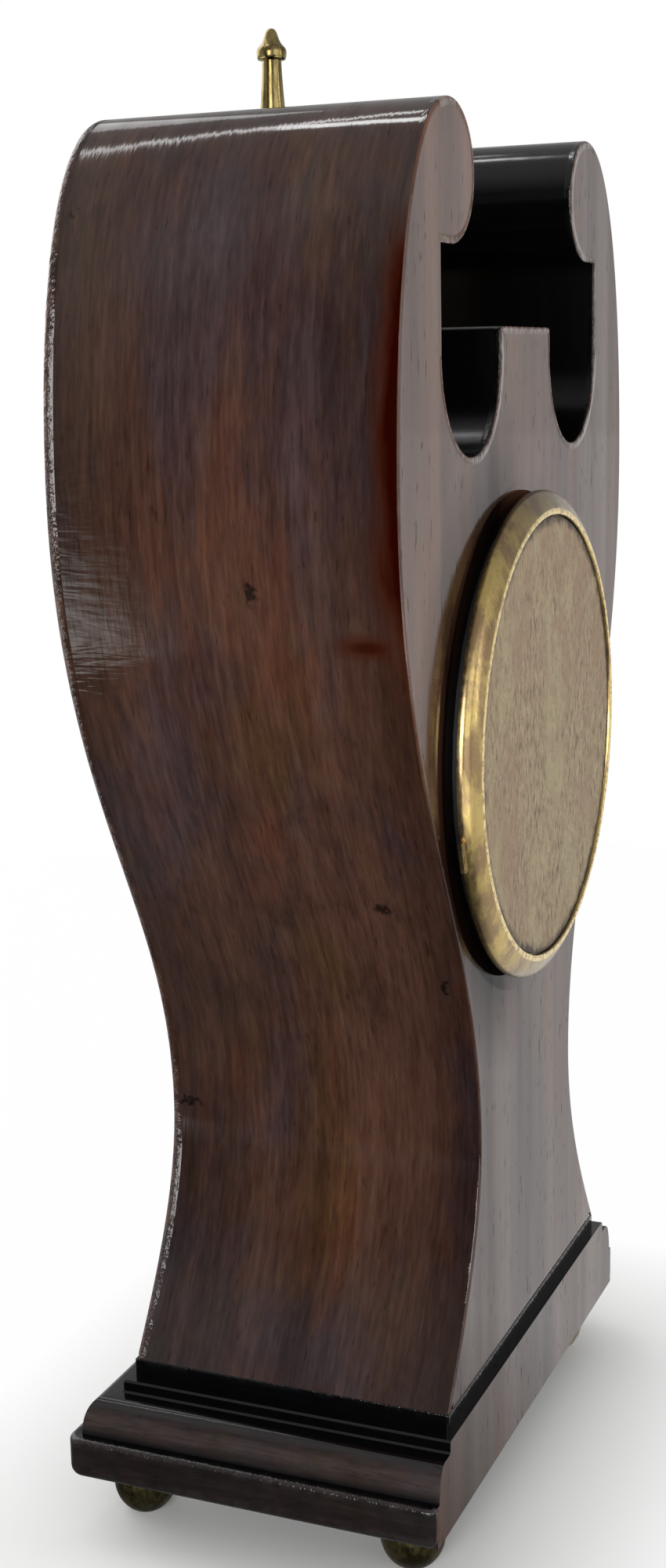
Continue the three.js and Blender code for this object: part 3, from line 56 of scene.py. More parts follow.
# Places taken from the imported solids, in metres
back_low, back_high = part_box("case_back_board")
front_low, front_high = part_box("case_front_board")
panel_low, panel_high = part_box("back_cover_panel")
plinth_low, plinth_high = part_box("plinth")
strip_low, strip_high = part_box("ebonised_strip")
core_low, core_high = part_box("base_core")
case_bottom = back_low[2]
drum_z = (panel_low[2] + panel_high[2]) / 2
middle_y = (front_low[1] + back_high[1]) / 2
drum_middle = (0.0, middle_y, drum_z)

# Half of the case's outline, in mm from the middle line and up from the case's bottom
CASE_FOOT_HALF = 50.0
FOOT_PULL = (39.4, 15.5)
WAIST_HALF = 30.2
WAIST_HEIGHT = 47.0
WAIST_PULL = (30.0, 89.4)
BELLY_HALF = 70.0
BELLY_HEIGHT = 172.0
BELLY_PULL = (114.8, 211.0)
EAR_X = 42.4
EAR_HEIGHT = 225.4
EAR_RADIUS = 12.1
EAR_PULL = 16.9
SLOT_X = 31.9
SLOT_HEIGHT = 195.0
SLOT_HALF = 16.3
SLOT_DROP = 18.0
TONGUE_HEIGHT = 200.0
TONGUE_ROUND = 1.1
THROAT_MARGIN = 0.5
SKIN = 4.0
FRONT_HOLE = 43.0
BACK_HOLE = 41.0
FRONT_EDGE_ROUND = 1.5
BACK_EDGE_ROUND = 0.5

# Wear, darkening and painted shade of the case and the panel, in mm; pairs of heights are up from the floor
RED_BAND = 6.0
RED_BAND_RAGGED = 1.2
RED_BAND_START = (170.0, 190.0)
RED_BAND_END = (238.0, 254.0)
RED_SMUDGE = (67.2, 28.4, 180.2)
RED_SMUDGE_STRETCH = (1.0, 1.0, 3.0)
RED_SMUDGE_FADE = (1.5, 9.0)
WALL_EDGE = (14.0, 34.0)
# Heights where painted shade darkens the walls' top, and the height of their darker foot
SHADED_TOP = (214.0, 258.0)
DARKER_FOOT = 42.0
RIPPLE_WIDTH = 22.0
RIPPLE_START = (140.0, 165.0)
RIPPLE_END = (200.0, 232.0)
# Painted shade on the back beside the cover's rim: black, a fading halo, and its rise across the near side
RIM_SHADE_BLACK = (2.4, 4.0)
RIM_SHADE_HALO = (0.0, 19.0)
RIM_SHADE_SIDE = (2.0, 18.0)
DENT_RAGGED = 6.0
# Painted shade round the panel's edge: insets where it starts and where it is full
PANEL_SHADE_RING = (2.2, 0.6)
PANEL_SHADE_RAGGED = 1.2

# Base and feet, in mm
PLINTH_CORNER = 3.0
PLINTH_BACK_CORNER = 1.4
PLINTH_TOP_ROUND = 1.0
PLINTH_LOW_ROUND = 2.2
BESIDE_ROUND = 1.0
MOULDING_DEPTH = 14.0
OVOLO_HEIGHT = 7.0
FILLET_HEIGHT = 2.5
OVOLO_INSET = 2.6
OVOLO_TOP_INSET = 5.7
FILLET_INSET = 8.9
ARRIS = 0.35
FOOT_RADIUS = 6.4
FOOT_BELLY = 6.2
FOOT_FLAT = 3.0
FOOT_NECK = 4.6
FOOT_HEIGHT = 12.0
STUD_RADIUS = 1.6
STUD_LENGTH = 6.0

# Finial, in mm
FINIAL_FOOT = 8.2
SPIRE_RADIUS = 6.4
SPIRE_START = 11.0
SPIRE_HEIGHT = 40.8
SPIRE_STEPS = 16
FINIAL_NECK = 1.9
ACORN_RADIUS = 2.95
ACORN_HEIGHT = 6.0

# Back cover and front bezel, in mm from the drum's middle and from the case's middle
CASE_FACE = 33.2
COVER_FRONT = 35.0
COVER_BACK = 38.7
COVER_RADIUS = 47.9
COVER_LIP = 43.2
COVER_SEAT = 42.2
RIDGE = 0.13
PANEL_RADIUS = 43.0
PANEL_SEAT = 37.45
PANEL_THICKNESS = 0.6
PANEL_CHAMFER = 0.15
HINGE_X = -49.5
LEAF_INNER = -46.7
LEAF_FRONT = 35.1
LEAF_BACK = 36.1
KNUCKLE_HALF = 2.8
KNUCKLE_RADIUS = 1.4
PIN_HOLE = 0.9
LIP_INNER = 47.1
LIP_REACH = 49.2
LIP_CHAMFER = 0.3
LIP_HALF = 3.0
LIP_ANGLE = radians(-17)
BEZEL_RADIUS = 47.5
BEZEL_LIP = 39.6
BEZEL_STAND = 3.6
BEZEL_SEAT = 1.4
BEZEL_BORE = 41.8
SPIGOT_RADIUS = 42.7
SPIGOT_LENGTH = 11.2

# Dial, in mm: marks are half a width and a length
INK = 0.05
MINUTE_RING = 38.4
HOUR_MARK = (0.45, 2.4)
MINUTE_MARK = (0.16, 1.6)
HOUR_RING = 30.4
NUMERAL_SIZE = 8.6
HOURS = "XII I II III IIII V VI VII VIII IX X XI"

# Shades of the woods: dark, middle and light
BLACK_TONES = ((0.0012, 0.0010, 0.0010), (0.0020, 0.0017, 0.0017), (0.0034, 0.0028, 0.0026))
MAHOGANY = ((0.026, 0.0102, 0.0070), (0.058, 0.0256, 0.0166), (0.100, 0.0480, 0.0304))
BACK_MAHOGANY = tuple((1.3 * red, 1.2 * green, blue) for red, green, blue in MAHOGANY)
PLINTH_MAHOGANY = ((0.009, 0.0064, 0.0058), (0.017, 0.0122, 0.0112), (0.028, 0.0203, 0.0186))
MOULDING_MAHOGANY = ((0.026, 0.0185, 0.0160), (0.054, 0.0385, 0.0330), (0.084, 0.0600, 0.0520))

# Ways of the grain: one for each axis that it crosses
UPRIGHT_GRAIN = (1, 1, 0)
WALL_GRAIN = (0, 1, 0)
LEVEL_GRAIN = (0, 0, 1)

# Colours of wear and stain, darkening tints and painted shade; the first two tint what they cover
DARKENED = (0.42, 0.42, 0.44)
# Tint of the painted shade at the walls' top, also used for their darker foot
GREY_BLUE_DARKENING = (0.46, 0.60, 0.76)
RED_FRINGE = (0.040, 0.0085, 0.0032)
RED_DEEP = (0.017, 0.0011, 0.0004)
BARE_WOOD = (0.235, 0.180, 0.152)
# Painted shade along the ovolo's edges
MOULDING_EDGE_SHADE = (0.004, 0.0045, 0.0060)
SHEET_SHADES = ((0.34, (0.120, 0.082, 0.046)), (0.45, (0.290, 0.212, 0.126)), (0.62, (0.430, 0.338, 0.212)))
SHEET_SPECK = (0.130, 0.088, 0.050)
# Painted shade round the panel's edge
SHEET_EDGE_SHADE = (0.020, 0.014, 0.009)

# Pinkish and greenish patches of the sheet: colour, scale, and where the patch starts and is full
SHEET_PATCHES = (
    ((0.300, 0.196, 0.126), (62, 62, 34), 0.45, 0.58),
    ((0.395, 0.330, 0.194), (85, 85, 40), 0.50, 0.62),
)

# Clouds of stain: tint, scale, where the cloud starts and is full, and its strength
STAIN_CLOUDS = (
    ((0.74, 1.02, 1.66), (34, 34, 11), 0.46, 0.60, 0.80),
    ((1.36, 0.94, 0.68), (62, 62, 13), 0.52, 0.68, 0.65),
    ((1.06, 1.20, 0.74), (55, 55, 9), 0.52, 0.68, 0.70),
    ((0.36, 0.35, 0.38), (24, 24, 9), 0.45, 0.70, 0.70),
    ((0.45, 0.44, 0.46), (150, 150, 30), 0.52, 0.70, 0.65),
)

# Bruises of the side wall: place and radius in mm, and a stretch of the axes
WALL_DENTS = (
    ((68.9, 7.5, 189.3), 1.8, (1.0, 1.0, 0.7)),
    ((45.9, 22.2, 129.2), 1.4, (1.0, 0.8, 1.0)),
    ((37.7, 30.4, 112.7), 1.2, (1.0, 1.0, 0.6)),
    ((30.2, -27.0, 80.8), 1.0, (1.0, 0.22, 1.0)),
    ((62.2, -27.2, 253.2), 1.0, (1.0, 1.0, 0.8)),
    ((66.0, -21.0, 246.0), 0.5, (1.0, 0.10, 0.6)),
)

# The room's light: its levels, the dim part beside the camera, and where the levels change
ROOM_LEVEL = 0.5
DIM_LEVEL = 0.05
WINDOW_LEVEL = 3.0
DIM_AZIMUTH = radians(-8)
DIM_HALF = radians(24)
BACKDROP_EDGE = (-0.45, -0.1)
BACKDROP_RISE = (0.10, 0.25)
CEILING_RISE = (0.35, 0.80)

# The floor, in metres: the shadow round the base, the white beyond, and the painted light and shadow the
# polish mirrors
FLOOR_REACH = 6.0
SHADOW_REACH = 0.048
WHITE_EDGE = (0.2, 0.5)
FAR_SIDE = (-0.06, 0.08)
SHADED_DEPTH = (-0.03, 0.04)
WINDOW_EDGE = (0.33, 0.37)
WINDOW_FADE = (0.40, 1.1)

# Lamps: name, place, target, width and height in metres, watts and a spin about their own axis
CLOCK_MIDDLE = (0.0, 0.0, 0.14)
LAMPS = (
    ("key_softbox", (1.083, 0.076, 0.32), CLOCK_MIDDLE, 0.42, 0.6, 6.6, 0.0),
    ("fill_softbox", (0.53, 0.92, 0.42), CLOCK_MIDDLE, 0.8, 0.8, 2.6, 0.0),
    ("dial_softbox", (-0.35, -0.95, 0.75), CLOCK_MIDDLE, 1.1, 1.1, 6.0, 0.0),
    ("rim_strip", (-0.13, 1.09, 0.40), CLOCK_MIDDLE, 0.06, 0.5, 0.7, 0.0),
    ("ear_lamp", (-0.14, -0.32, 1.16), (-0.14, -0.32, 0.0), 0.08, 0.14, 0.36, 0.0),
    ("ceiling_tube", (-0.0014, -0.475, 1.16), (-0.0014, -0.475, 0.0), 0.86, 0.025, 0.55, radians(156)),
)

# The camera of the photograph
CAMERA_AZIMUTH = 0.37653
CAMERA_DISTANCE = 0.4154276
CAMERA_HEIGHT = 0.1935829
CAMERA_PITCH = 0.2000106
CAMERA_ROLL = -0.0203808
CAMERA_SIDE = 0.0192415
CAMERA_LENS = 47.47


class Tree:
    """Adds shader nodes to a material or a world and links them."""

    def __init__(self, owner):
        owner.use_nodes = True
        self.tree = owner.node_tree
        self.tree.nodes.clear()

    def fill(self, socket, value):
        if isinstance(value, bpy.types.NodeSocket):
            self.tree.links.new(value, socket)
        else:
            socket.default_value = value

    def add(self, kind, inputs=None, **settings):
        made = self.tree.nodes.new(kind)
        for name, value in settings.items():
            setattr(made, name, value)
        for key, value in (inputs or {}).items():
            self.fill(made.inputs[key], value)
        return made

    def place(self):
        return self.add("ShaderNodeTexCoord").outputs["Object"]

    def axes(self, vector=None):
        """The parts of a vector, or of the place on the object if none is given."""
        made = self.add("ShaderNodeSeparateXYZ", {0: self.place() if vector is None else vector})
        return made.outputs["X"], made.outputs["Y"], made.outputs["Z"]

    def noise(self, scale, detail=3.0, roughness=0.55, output="Fac"):
        spot = self.add("ShaderNodeMapping", {"Vector": self.place(), "Scale": scale}).outputs[0]
        settings = {"Vector": spot, "Scale": 1.0, "Detail": detail, "Roughness": roughness}
        return self.add("ShaderNodeTexNoise", settings).outputs[output]

    def ramp(self, factor, stops):
        made = self.add("ShaderNodeValToRGB", {"Fac": factor})
        points = made.color_ramp.elements
        while len(points) < len(stops):
            points.new(0.5)
        for point, (position, colour) in zip(points, stops):
            point.position = position
            point.color = (*colour, 1.0)
        return made.outputs["Color"]

    def span(self, value, low, high, to_low=0.0, to_high=1.0):
        limits = {"Value": value, "From Min": low, "From Max": high, "To Min": to_low, "To Max": to_high}
        return self.add("ShaderNodeMapRange", limits, clamp=True).outputs["Result"]

    def math(self, operation, first, second):
        return self.add("ShaderNodeMath", {0: first, 1: second}, operation=operation).outputs[0]

    def times(self, first, second):
        return self.math("MULTIPLY", first, second)

    def larger(self, first, second):
        return self.math("MAXIMUM", first, second)

    def apart(self, value, middle):
        """How far a value lies from a middle, to either side."""
        return self.math("ABSOLUTE", self.math("SUBTRACT", value, middle), 0.0)

    def vector(self, operation, first, second=(0.0, 0.0, 0.0)):
        return self.add("ShaderNodeVectorMath", {0: first, 1: second}, operation=operation).outputs[0]

    def length(self, vector):
        return self.add("ShaderNodeVectorMath", {0: vector}, operation="LENGTH").outputs["Value"]

    def distance(self, place, middle, stretch):
        """How far a place is from a middle, with the axes stretched."""
        return self.length(self.vector("MULTIPLY", self.vector("SUBTRACT", place, middle), stretch))

    def mix(self, factor, first, second, blend="MIX"):
        made = self.add("ShaderNodeMix", data_type="RGBA", blend_type=blend)
        sockets = {socket.identifier: socket for socket in made.inputs}
        self.fill(sockets["Factor_Float"], factor)
        for name, value in (("A_Color", first), ("B_Color", second)):
            self.fill(sockets[name], (*value, 1.0) if isinstance(value, tuple) else value)
        return next(socket for socket in made.outputs if socket.identifier == "Result_Color")

    def bump(self, height, strength, distance=0.0002, below=None):
        inputs = {"Height": height, "Strength": strength, "Distance": distance}
        if below is not None:
            inputs["Normal"] = below
        return self.add("ShaderNodeBump", inputs).outputs[0]

    def blend_shaders(self, factor, first, second):
        return self.add("ShaderNodeMixShader", {0: factor, 1: first, 2: second}).outputs[0]

    def surface(self, inputs):
        shader = self.add("ShaderNodeBsdfPrincipled", inputs)
        self.add("ShaderNodeOutputMaterial", {"Surface": shader.outputs[0]})


def new_material(name):
    material = bpy.data.materials.new(name)
    return material, Tree(material)


def in_metres(values):
    return tuple(v * MM for v in values)


def from_drum(tree):
    """How far the place on the object is from the drum's axis."""
    return tree.distance(tree.place(), (0.0, 0.0, drum_z), (1.0, 0.0, 1.0))


def dent_mask(tree, dents):
    """One where the wood is bruised, with ragged outlines."""
    noise = tree.noise((420, 420, 420), 3.0, 0.6, "Color")
    jitter = tree.vector("SUBTRACT", noise, (0.5, 0.5, 0.5))
    shaken = tree.vector("MULTIPLY", jitter, in_metres((DENT_RAGGED,) * 3))
    spot = tree.vector("ADD", tree.place(), shaken)
    mask = 0.0
    for place, radius, stretch in dents:
        away = tree.distance(spot, in_metres(place), stretch)
        one = tree.span(away, 0.45 * radius * MM, radius * MM, 1.0, 0.0)
        mask = tree.larger(mask, one)
    return mask


def streaks(tree, across, fine_share):
    """Grain that runs one way: soft broad bands under fine lines and short fibres."""
    total = 0.0
    layers = ((60, 5, 1 - fine_share), (600, 34, 0.45 * fine_share), (1250, 170, 0.55 * fine_share))
    for wide, long, share in layers:
        layer = tree.noise(tuple(wide if crosses else long for crosses in across), 4.0, 0.62)
        total = tree.math("ADD", tree.times(layer, share), total)
    return total


def stained(tree, colour, share):
    """Stain under old polish: bluish, reddish and olive clouds, and ragged darker smears."""
    for tint, scale, low, high, strength in STAIN_CLOUDS:
        patch = tree.span(tree.noise(scale, 6.0, 0.66), low, high, 0.0, strength * share)
        colour = tree.mix(patch, colour, tint, "MULTIPLY")
    return colour


def red_band(tree):
    """Grows from nought to one across the red strip along the walls' back edge, and on its smudge."""
    _, depth, height = tree.axes()
    uneven = tree.noise((160, 160, 40), 4.0, 0.65)
    ragged = tree.span(uneven, 0.3, 0.7, -RED_BAND_RAGGED * MM, RED_BAND_RAGGED * MM)
    inner = back_high[1] - RED_BAND * MM
    deep = tree.span(tree.math("ADD", depth, ragged), inner, back_high[1])
    rising = tree.span(height, *in_metres(RED_BAND_START))
    ending = tree.span(height, *in_metres(RED_BAND_END), 1.0, 0.0)
    strip = tree.times(deep, tree.times(rising, ending))
    away = tree.distance(tree.place(), in_metres(RED_SMUDGE), RED_SMUDGE_STRETCH)
    smudge = tree.span(away, *in_metres(RED_SMUDGE_FADE), 0.62, 0.0)
    return tree.larger(strip, smudge)


def rim_shade(tree):
    """One on the wood beside the cover's rim, where painted shade blackens the polish."""
    away = from_drum(tree)
    black = tree.span(away, *in_metres(COVER_RADIUS + past for past in RIM_SHADE_BLACK), 1.0, 0.0)
    halo = tree.span(away, *in_metres(COVER_RADIUS + past for past in RIM_SHADE_HALO), 0.85, 0.0)
    near_side = tree.span(tree.axes()[0], *in_metres(RIM_SHADE_SIDE), 0.0, 0.95)
    return tree.times(tree.larger(black, halo), near_side)


def walled(tree, colour, relief, gloss):
    """The side walls: dark edges, painted shade on top, a darker foot, a rippled front edge and the red
    strip.
    """
    _, depth, height = tree.axes()
    outer = tree.span(tree.apart(depth, middle_y), *in_metres(WALL_EDGE), 0.0, 0.75)
    # Painted shade darkens the top; the foot is darker towards the bottom
    top = tree.span(height, *in_metres(SHADED_TOP), 0.0, 0.5)
    foot = tree.span(height, case_bottom, case_bottom + DARKER_FOOT * MM, 0.5, 0.0)
    for mask, tint in ((outer, DARKENED), (top, GREY_BLUE_DARKENING), (foot, GREY_BLUE_DARKENING)):
        colour = tree.mix(mask, colour, tint, "MULTIPLY")
    front = tree.span(depth, front_low[1], front_low[1] + RIPPLE_WIDTH * MM, 1.0, 0.0)
    starting = tree.span(height, *in_metres(RIPPLE_START))
    ending = tree.span(height, *in_metres(RIPPLE_END), 1.0, 0.0)
    belly = tree.times(front, tree.times(starting, ending))
    ripple = tree.times(tree.noise((100, 100, 700), 2.0), belly)
    relief = tree.bump(ripple, 0.5, 0.0004, relief)
    band = red_band(tree)
    colour = tree.mix(tree.span(band, 0.0, 0.5, 0.0, 0.8), colour, RED_FRINGE)
    colour = tree.mix(tree.span(band, 0.42, 0.78), colour, RED_DEEP)
    return colour, relief, tree.times(gloss, tree.span(band, 0.1, 0.6, 1.0, 0.0))


def shade_beside_rim(tree, colour, gloss):
    """Painted shade that blackens and dulls the back beside the cover."""
    painted_shade = rim_shade(tree)
    dulled = tree.times(gloss, tree.span(painted_shade, 0.0, 1.0, 1.0, 0.4))
    return tree.mix(painted_shade, colour, BLACK_TONES[0]), dulled


def shade_moulding_edges(tree, colour):
    """Painted shade along both edges of the ovolo."""
    tall = OVOLO_HEIGHT * MM
    off_middle = tree.apart(tree.axes()[2], core_low[2] + 0.5 * tall)
    painted_shade = tree.span(off_middle, 0.12 * tall, 0.5 * tall, 0.0, 0.95)
    return tree.mix(painted_shade, colour, MOULDING_EDGE_SHADE)


def polished_wood(name, shades, coat_rough=0.08, coat_weight=1.0, fine_share=0.6, pores=0.4, lumps=0.16,
                  across=UPRIGHT_GRAIN, dents=(), part="plain", wear=0.15, stain=1.0, bare=None):
    """Old polish: streaked grain, clouds of stain, short pores, rubbed edges and an uneven clear coat."""
    dark, mid, light = shades
    material, tree = new_material(name)
    colour = tree.ramp(streaks(tree, across, fine_share), [(0.36, dark), (0.5, mid), (0.64, light)])
    colour = stained(tree, colour, stain)
    flecks = tree.noise(tuple(1400 if crosses else 210 for crosses in across), 2.0, 0.5)
    pitted = tree.span(flecks, 0.66, 0.72, 0.0, pores)
    colour = tree.mix(pitted, colour, tuple(0.25 * c for c in dark))
    edge = tree.add("ShaderNodeAttribute", attribute_name="edge").outputs["Fac"]
    patches = tree.span(tree.noise((300, 300, 200), 4.0, 0.65), 0.45, 0.66, 0.0, wear)
    rubbed = bare or tuple(2.2 * c + 0.03 for c in light)
    colour = tree.mix(tree.times(edge, patches), colour, rubbed)
    relief = tree.bump(tree.noise((75, 75, 45), 2.0), lumps, 0.0006)
    relief = tree.bump(flecks, 0.05, 0.0002, relief)
    chips = tree.times(tree.noise((640, 640, 440), 3.0, 0.6), edge)
    relief = tree.bump(chips, min(0.8, 2 * wear), 0.0009, relief)
    banded = tree.noise(tuple(95 if crosses else 4 for crosses in across), 4.0, 0.6)
    closed = tree.span(pitted, 0.0, 1.0, coat_weight, 0.2 * coat_weight)
    gloss = tree.times(closed, tree.span(banded, 0.35, 0.65, 0.78, 1.0))
    if part == "wall":
        colour, relief, gloss = walled(tree, colour, relief, gloss)
    # The back gets painted shade beside the cover's rim
    if part == "back":
        colour, gloss = shade_beside_rim(tree, colour, gloss)
    # The ovolo gets painted shade along both edges
    if part == "moulding":
        colour = shade_moulding_edges(tree, colour)
    if dents:
        mask = dent_mask(tree, dents)
        colour = tree.mix(tree.times(mask, 0.85), colour, tuple(0.12 * c for c in dark))
        relief = tree.bump(mask, -0.8, 0.0004, relief)
    tree.surface({"Base Color": colour, "Roughness": 0.6, "Specular IOR Level": 0.0, "Normal": relief,
                  "Coat Weight": gloss, "Coat Roughness": coat_rough, "Coat IOR": 1.5,
                  "Coat Normal": relief})
    return material


def plain_wood(name, colour):
    material, tree = new_material(name)
    grain = tree.noise((30, 420, 420), 4.0, 0.6)
    shade = tree.ramp(grain, [(0.3, tuple(0.6 * c for c in colour)), (0.7, colour)])
    tree.surface({"Base Color": shade, "Roughness": 0.75})
    return material


def aged_metal(name, bright, tarnish, rough, share, scale=(150, 150, 150), dull=None):
    """Metal with soft patches of tarnish, and a dull colour at the drum's top and bottom if given."""
    material, tree = new_material(name)
    patches = tree.noise(scale, 6.0, 0.66)
    spread = tree.span(patches, 0.62 - share * 0.24, 0.74 - share * 0.24, 0.0, 0.9)
    specks = tree.span(tree.noise((900, 900, 900), 3.0, 0.6), 0.58, 0.72, 0.0, 0.5)
    colour = tree.mix(tree.larger(spread, specks), bright, tarnish)
    if dull:
        off_middle = tree.apart(tree.axes()[2], drum_z)
        ends = tree.span(off_middle, 0.74 * COVER_RADIUS * MM, COVER_RADIUS * MM, 0.0, 0.8)
        colour = tree.mix(ends, colour, dull)
    worn = tree.span(tree.noise((1500, 1500, 400), 2.0), 0.35, 0.7, rough * 0.8, rough * 1.3)
    relief = tree.bump(tree.noise((260, 260, 260), 3.0), 0.12)
    tree.surface({"Base Color": colour, "Metallic": 1.0, "Roughness": worn, "Normal": relief})
    return material


def plain_finish(name, colour, rough, metallic=0.0, more=None):
    material, tree = new_material(name)
    tree.surface({"Base Color": (*colour, 1.0), "Roughness": rough, "Metallic": metallic, **(more or {})})
    return material


def oxidised_sheet(name):
    """Dull sheet metal: upright flecks, coloured patches, dark specks and painted shade round its edge."""
    material, tree = new_material(name)
    flecks = tree.noise((950, 950, 330), 5.0, 0.68)
    speckle = tree.noise((2600, 2600, 1100), 2.0, 0.6)
    colour = tree.ramp(flecks, SHEET_SHADES)
    for tint, scale, low, high in SHEET_PATCHES:
        patch = tree.span(tree.noise(scale, 6.0, 0.72), low, high, 0.0, 0.75)
        colour = tree.mix(patch, colour, tint)
    colour = tree.mix(tree.span(speckle, 0.55, 0.70, 0.0, 0.6), colour, SHEET_SPECK)
    # Painted shade round the sheet's edge, under the rim's lip
    away = from_drum(tree)
    uneven = tree.noise((300, 300, 300), 4.0, 0.7)
    ragged = tree.span(uneven, 0.3, 0.7, -PANEL_SHADE_RAGGED * MM, 0.5 * PANEL_SHADE_RAGGED * MM)
    inner, outer = ((PANEL_RADIUS - inset) * MM for inset in PANEL_SHADE_RING)
    painted_shade = tree.span(tree.math("ADD", away, ragged), inner, outer, 0.0, 0.92)
    colour = tree.mix(painted_shade, colour, SHEET_EDGE_SHADE)
    tree.surface({"Base Color": colour, "Metallic": 0.15, "Roughness": 0.6, "Specular IOR Level": 0.3,
                  "Normal": tree.bump(speckle, 0.12)})
    return material


# Woods
WOOD = polished_wood("polished_mahogany", MAHOGANY, across=WALL_GRAIN, dents=WALL_DENTS, part="wall",
                     wear=0.4)
FRONT_WOOD = polished_wood("front_mahogany", MAHOGANY, 0.07, fine_share=0.4, lumps=0.1, wear=0.4)
BACK_WOOD = polished_wood("back_mahogany", BACK_MAHOGANY, 0.055, 0.86, fine_share=0.15, pores=0.55,
                          lumps=0.07, part="back", wear=1.0, stain=0.5, bare=BARE_WOOD)
DARK_WOOD = polished_wood("plinth_mahogany", PLINTH_MAHOGANY, 0.12, across=LEVEL_GRAIN, stain=0.5)
MOULDING_WOOD = polished_wood("moulding_mahogany", MOULDING_MAHOGANY, 0.12, across=LEVEL_GRAIN,
                              part="moulding", stain=0.4)
# Ebonised wood, also painted on the insides of the ears as shade
BLACK_WOOD = polished_wood("ebonised_wood_and_painted_shade", BLACK_TONES, 0.13, pores=0.2, across=LEVEL_GRAIN)
# Black of the throat, painted as shade
THROAT_BLACK = polished_wood("throat_black", BLACK_TONES, 0.22, 0.6, pores=0.2, lumps=0.1)
TIMBER = plain_wood("plain_timber", (0.20, 0.11, 0.06))

# Metals
# Brighter brass on the rim's ridge is a painted highlight
RIDGE_HIGHLIGHT_BRASS = aged_metal("ridge_brass_painted_highlight", (0.78, 0.62, 0.30), (0.36, 0.25, 0.11), 0.3, 0.6, (900, 900, 900))
BRASS = aged_metal("aged_brass", (0.58, 0.42, 0.17), (0.22, 0.13, 0.05), 0.26, 0.3)
RIM_BRASS = aged_metal("rim_brass", (0.52, 0.385, 0.150), (0.28, 0.188, 0.104), 0.27, 0.7, (170, 170, 90),
                       (0.135, 0.099, 0.071))
FOOT_BRASS = aged_metal("foot_brass", (0.135, 0.110, 0.050), (0.040, 0.031, 0.014), 0.36, 0.7,
                        (260, 260, 260))
FINIAL_BRASS = aged_metal("finial_brass", (0.30, 0.235, 0.095), (0.100, 0.070, 0.026), 0.2, 0.5,
                          (300, 300, 60))
MOVEMENT_BRASS = aged_metal("movement_brass", (0.66, 0.48, 0.19), (0.50, 0.34, 0.12), 0.24, 0.2)
PANEL = oxidised_sheet("oxidised_panel")
# Black brass, painted as shade under the cover's rim and on the back ring's flank
SHADE_BLACK_BRASS = plain_finish("brass_painted_shade_black", (0.006, 0.005, 0.005), 0.55)
BLUED = plain_finish("blued_steel", (0.020, 0.035, 0.11), 0.25, 1.0)
STEEL = plain_finish("bright_steel", (0.42, 0.42, 0.43), 0.28, 1.0)

# Dial and glass
ENAMEL = plain_finish("dial_enamel", (0.86, 0.84, 0.77), 0.22,
                      more={"Coat Weight": 0.6, "Coat Roughness": 0.08})
BLACK_PAINT = plain_finish("dial_paint", (0.012, 0.011, 0.011), 0.4)
GLASS = plain_finish("clear_glass", (1.0, 1.0, 1.0), 0.02, more={"Transmission Weight": 1.0, "IOR": 1.45})


def dress(material, *names):
    """Gives solids a finish and shades their round faces smooth."""
    for name in names:
        mesh = solids[name].data
        mesh.materials.clear()
        mesh.materials.append(material)
        mesh.polygons.foreach_set("use_smooth", [True] * len(mesh.polygons))
        weld = solids[name].modifiers.new("weld", "WELD")
        weld.merge_threshold = 0.001 * MM
        split = solids[name].modifiers.new("crisp_edges", "EDGE_SPLIT")
        split.split_angle = radians(32)


def put(name, data):
    """Adds an object made of the data to the scene."""
    made = bpy.data.objects.new(name, data)
    scene.collection.objects.link(made)
    return made


def finish_piece(name, made, material, body, replaced=(), sharp=34):
    """Turns vertices, faces and edge weights into a smooth-shaded piece that rides on a body."""
    vertices, faces, edge = made if len(made) == 3 else (*made, None)
    mesh = bpy.data.meshes.new(name)
    mesh.from_pydata([tuple(v) for v in vertices], [], faces)
    outward = bmesh.new()
    outward.from_mesh(mesh)
    bmesh.ops.recalc_face_normals(outward, faces=outward.faces[:])
    outward.to_mesh(mesh)
    outward.free()
    if edge is not None:
        mesh.attributes.new("edge", "FLOAT", "POINT").data.foreach_set("value", edge)
    mesh.polygons.foreach_set("use_smooth", [True] * len(mesh.polygons))
    mesh.set_sharp_from_angle(angle=radians(sharp))
    mesh.materials.append(material)
    piece = put(name, mesh)
    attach(piece, body)
    if replaced:
        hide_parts(*replaced)
    return piece


def paint(piece, material, chosen):
    """Gives a second material to the faces that the test picks."""
    piece.data.materials.append(material)
    for polygon in piece.data.polygons:
        if chosen(polygon.center, polygon.normal):
            polygon.material_index = len(piece.data.materials) - 1


def inset_loop(loop, depth):
    """Moves an anticlockwise loop of points inwards, with mitred corners."""
    moved = []
    for i, (bx, by) in enumerate(loop):
        ax, ay = loop[i - 1]
        cx, cy = loop[(i + 1) % len(loop)]
        u = Vector((bx - ax, by - ay)).normalized()
        v = Vector((cx - bx, cy - by)).normalized()
        side = Vector((-u.y - v.y, u.x + v.x))
        push = side / max(0.35, 1 + u.dot(v))
        moved.append((bx + depth * push.x, by + depth * push.y))
    return moved


def rounded_rows(low, high, round_low, round_high, steps=5, margin=1.0 * MM):
    """Rows of (place, inset, edge weight) through a thickness whose two rims may be rounded."""
    rows = []
    for place, radius, way in ((low, round_low, 1), (high, round_high, -1)):
        if not radius:
            rows.append([(place, 0.0, 0.0)])
            continue
        rim = [(place, radius + margin, 0.0)]
        for k in range(steps + 1):
            a = k / steps * QUARTER
            rim.append((place + way * radius * (1 - cos(a)), radius * (1 - sin(a)), 1.0))
        rim.append((place + way * (radius + margin), 0.0, 0.0))
        rows.append(rim if way > 0 else rim[::-1])
    return rows[0] + rows[1]


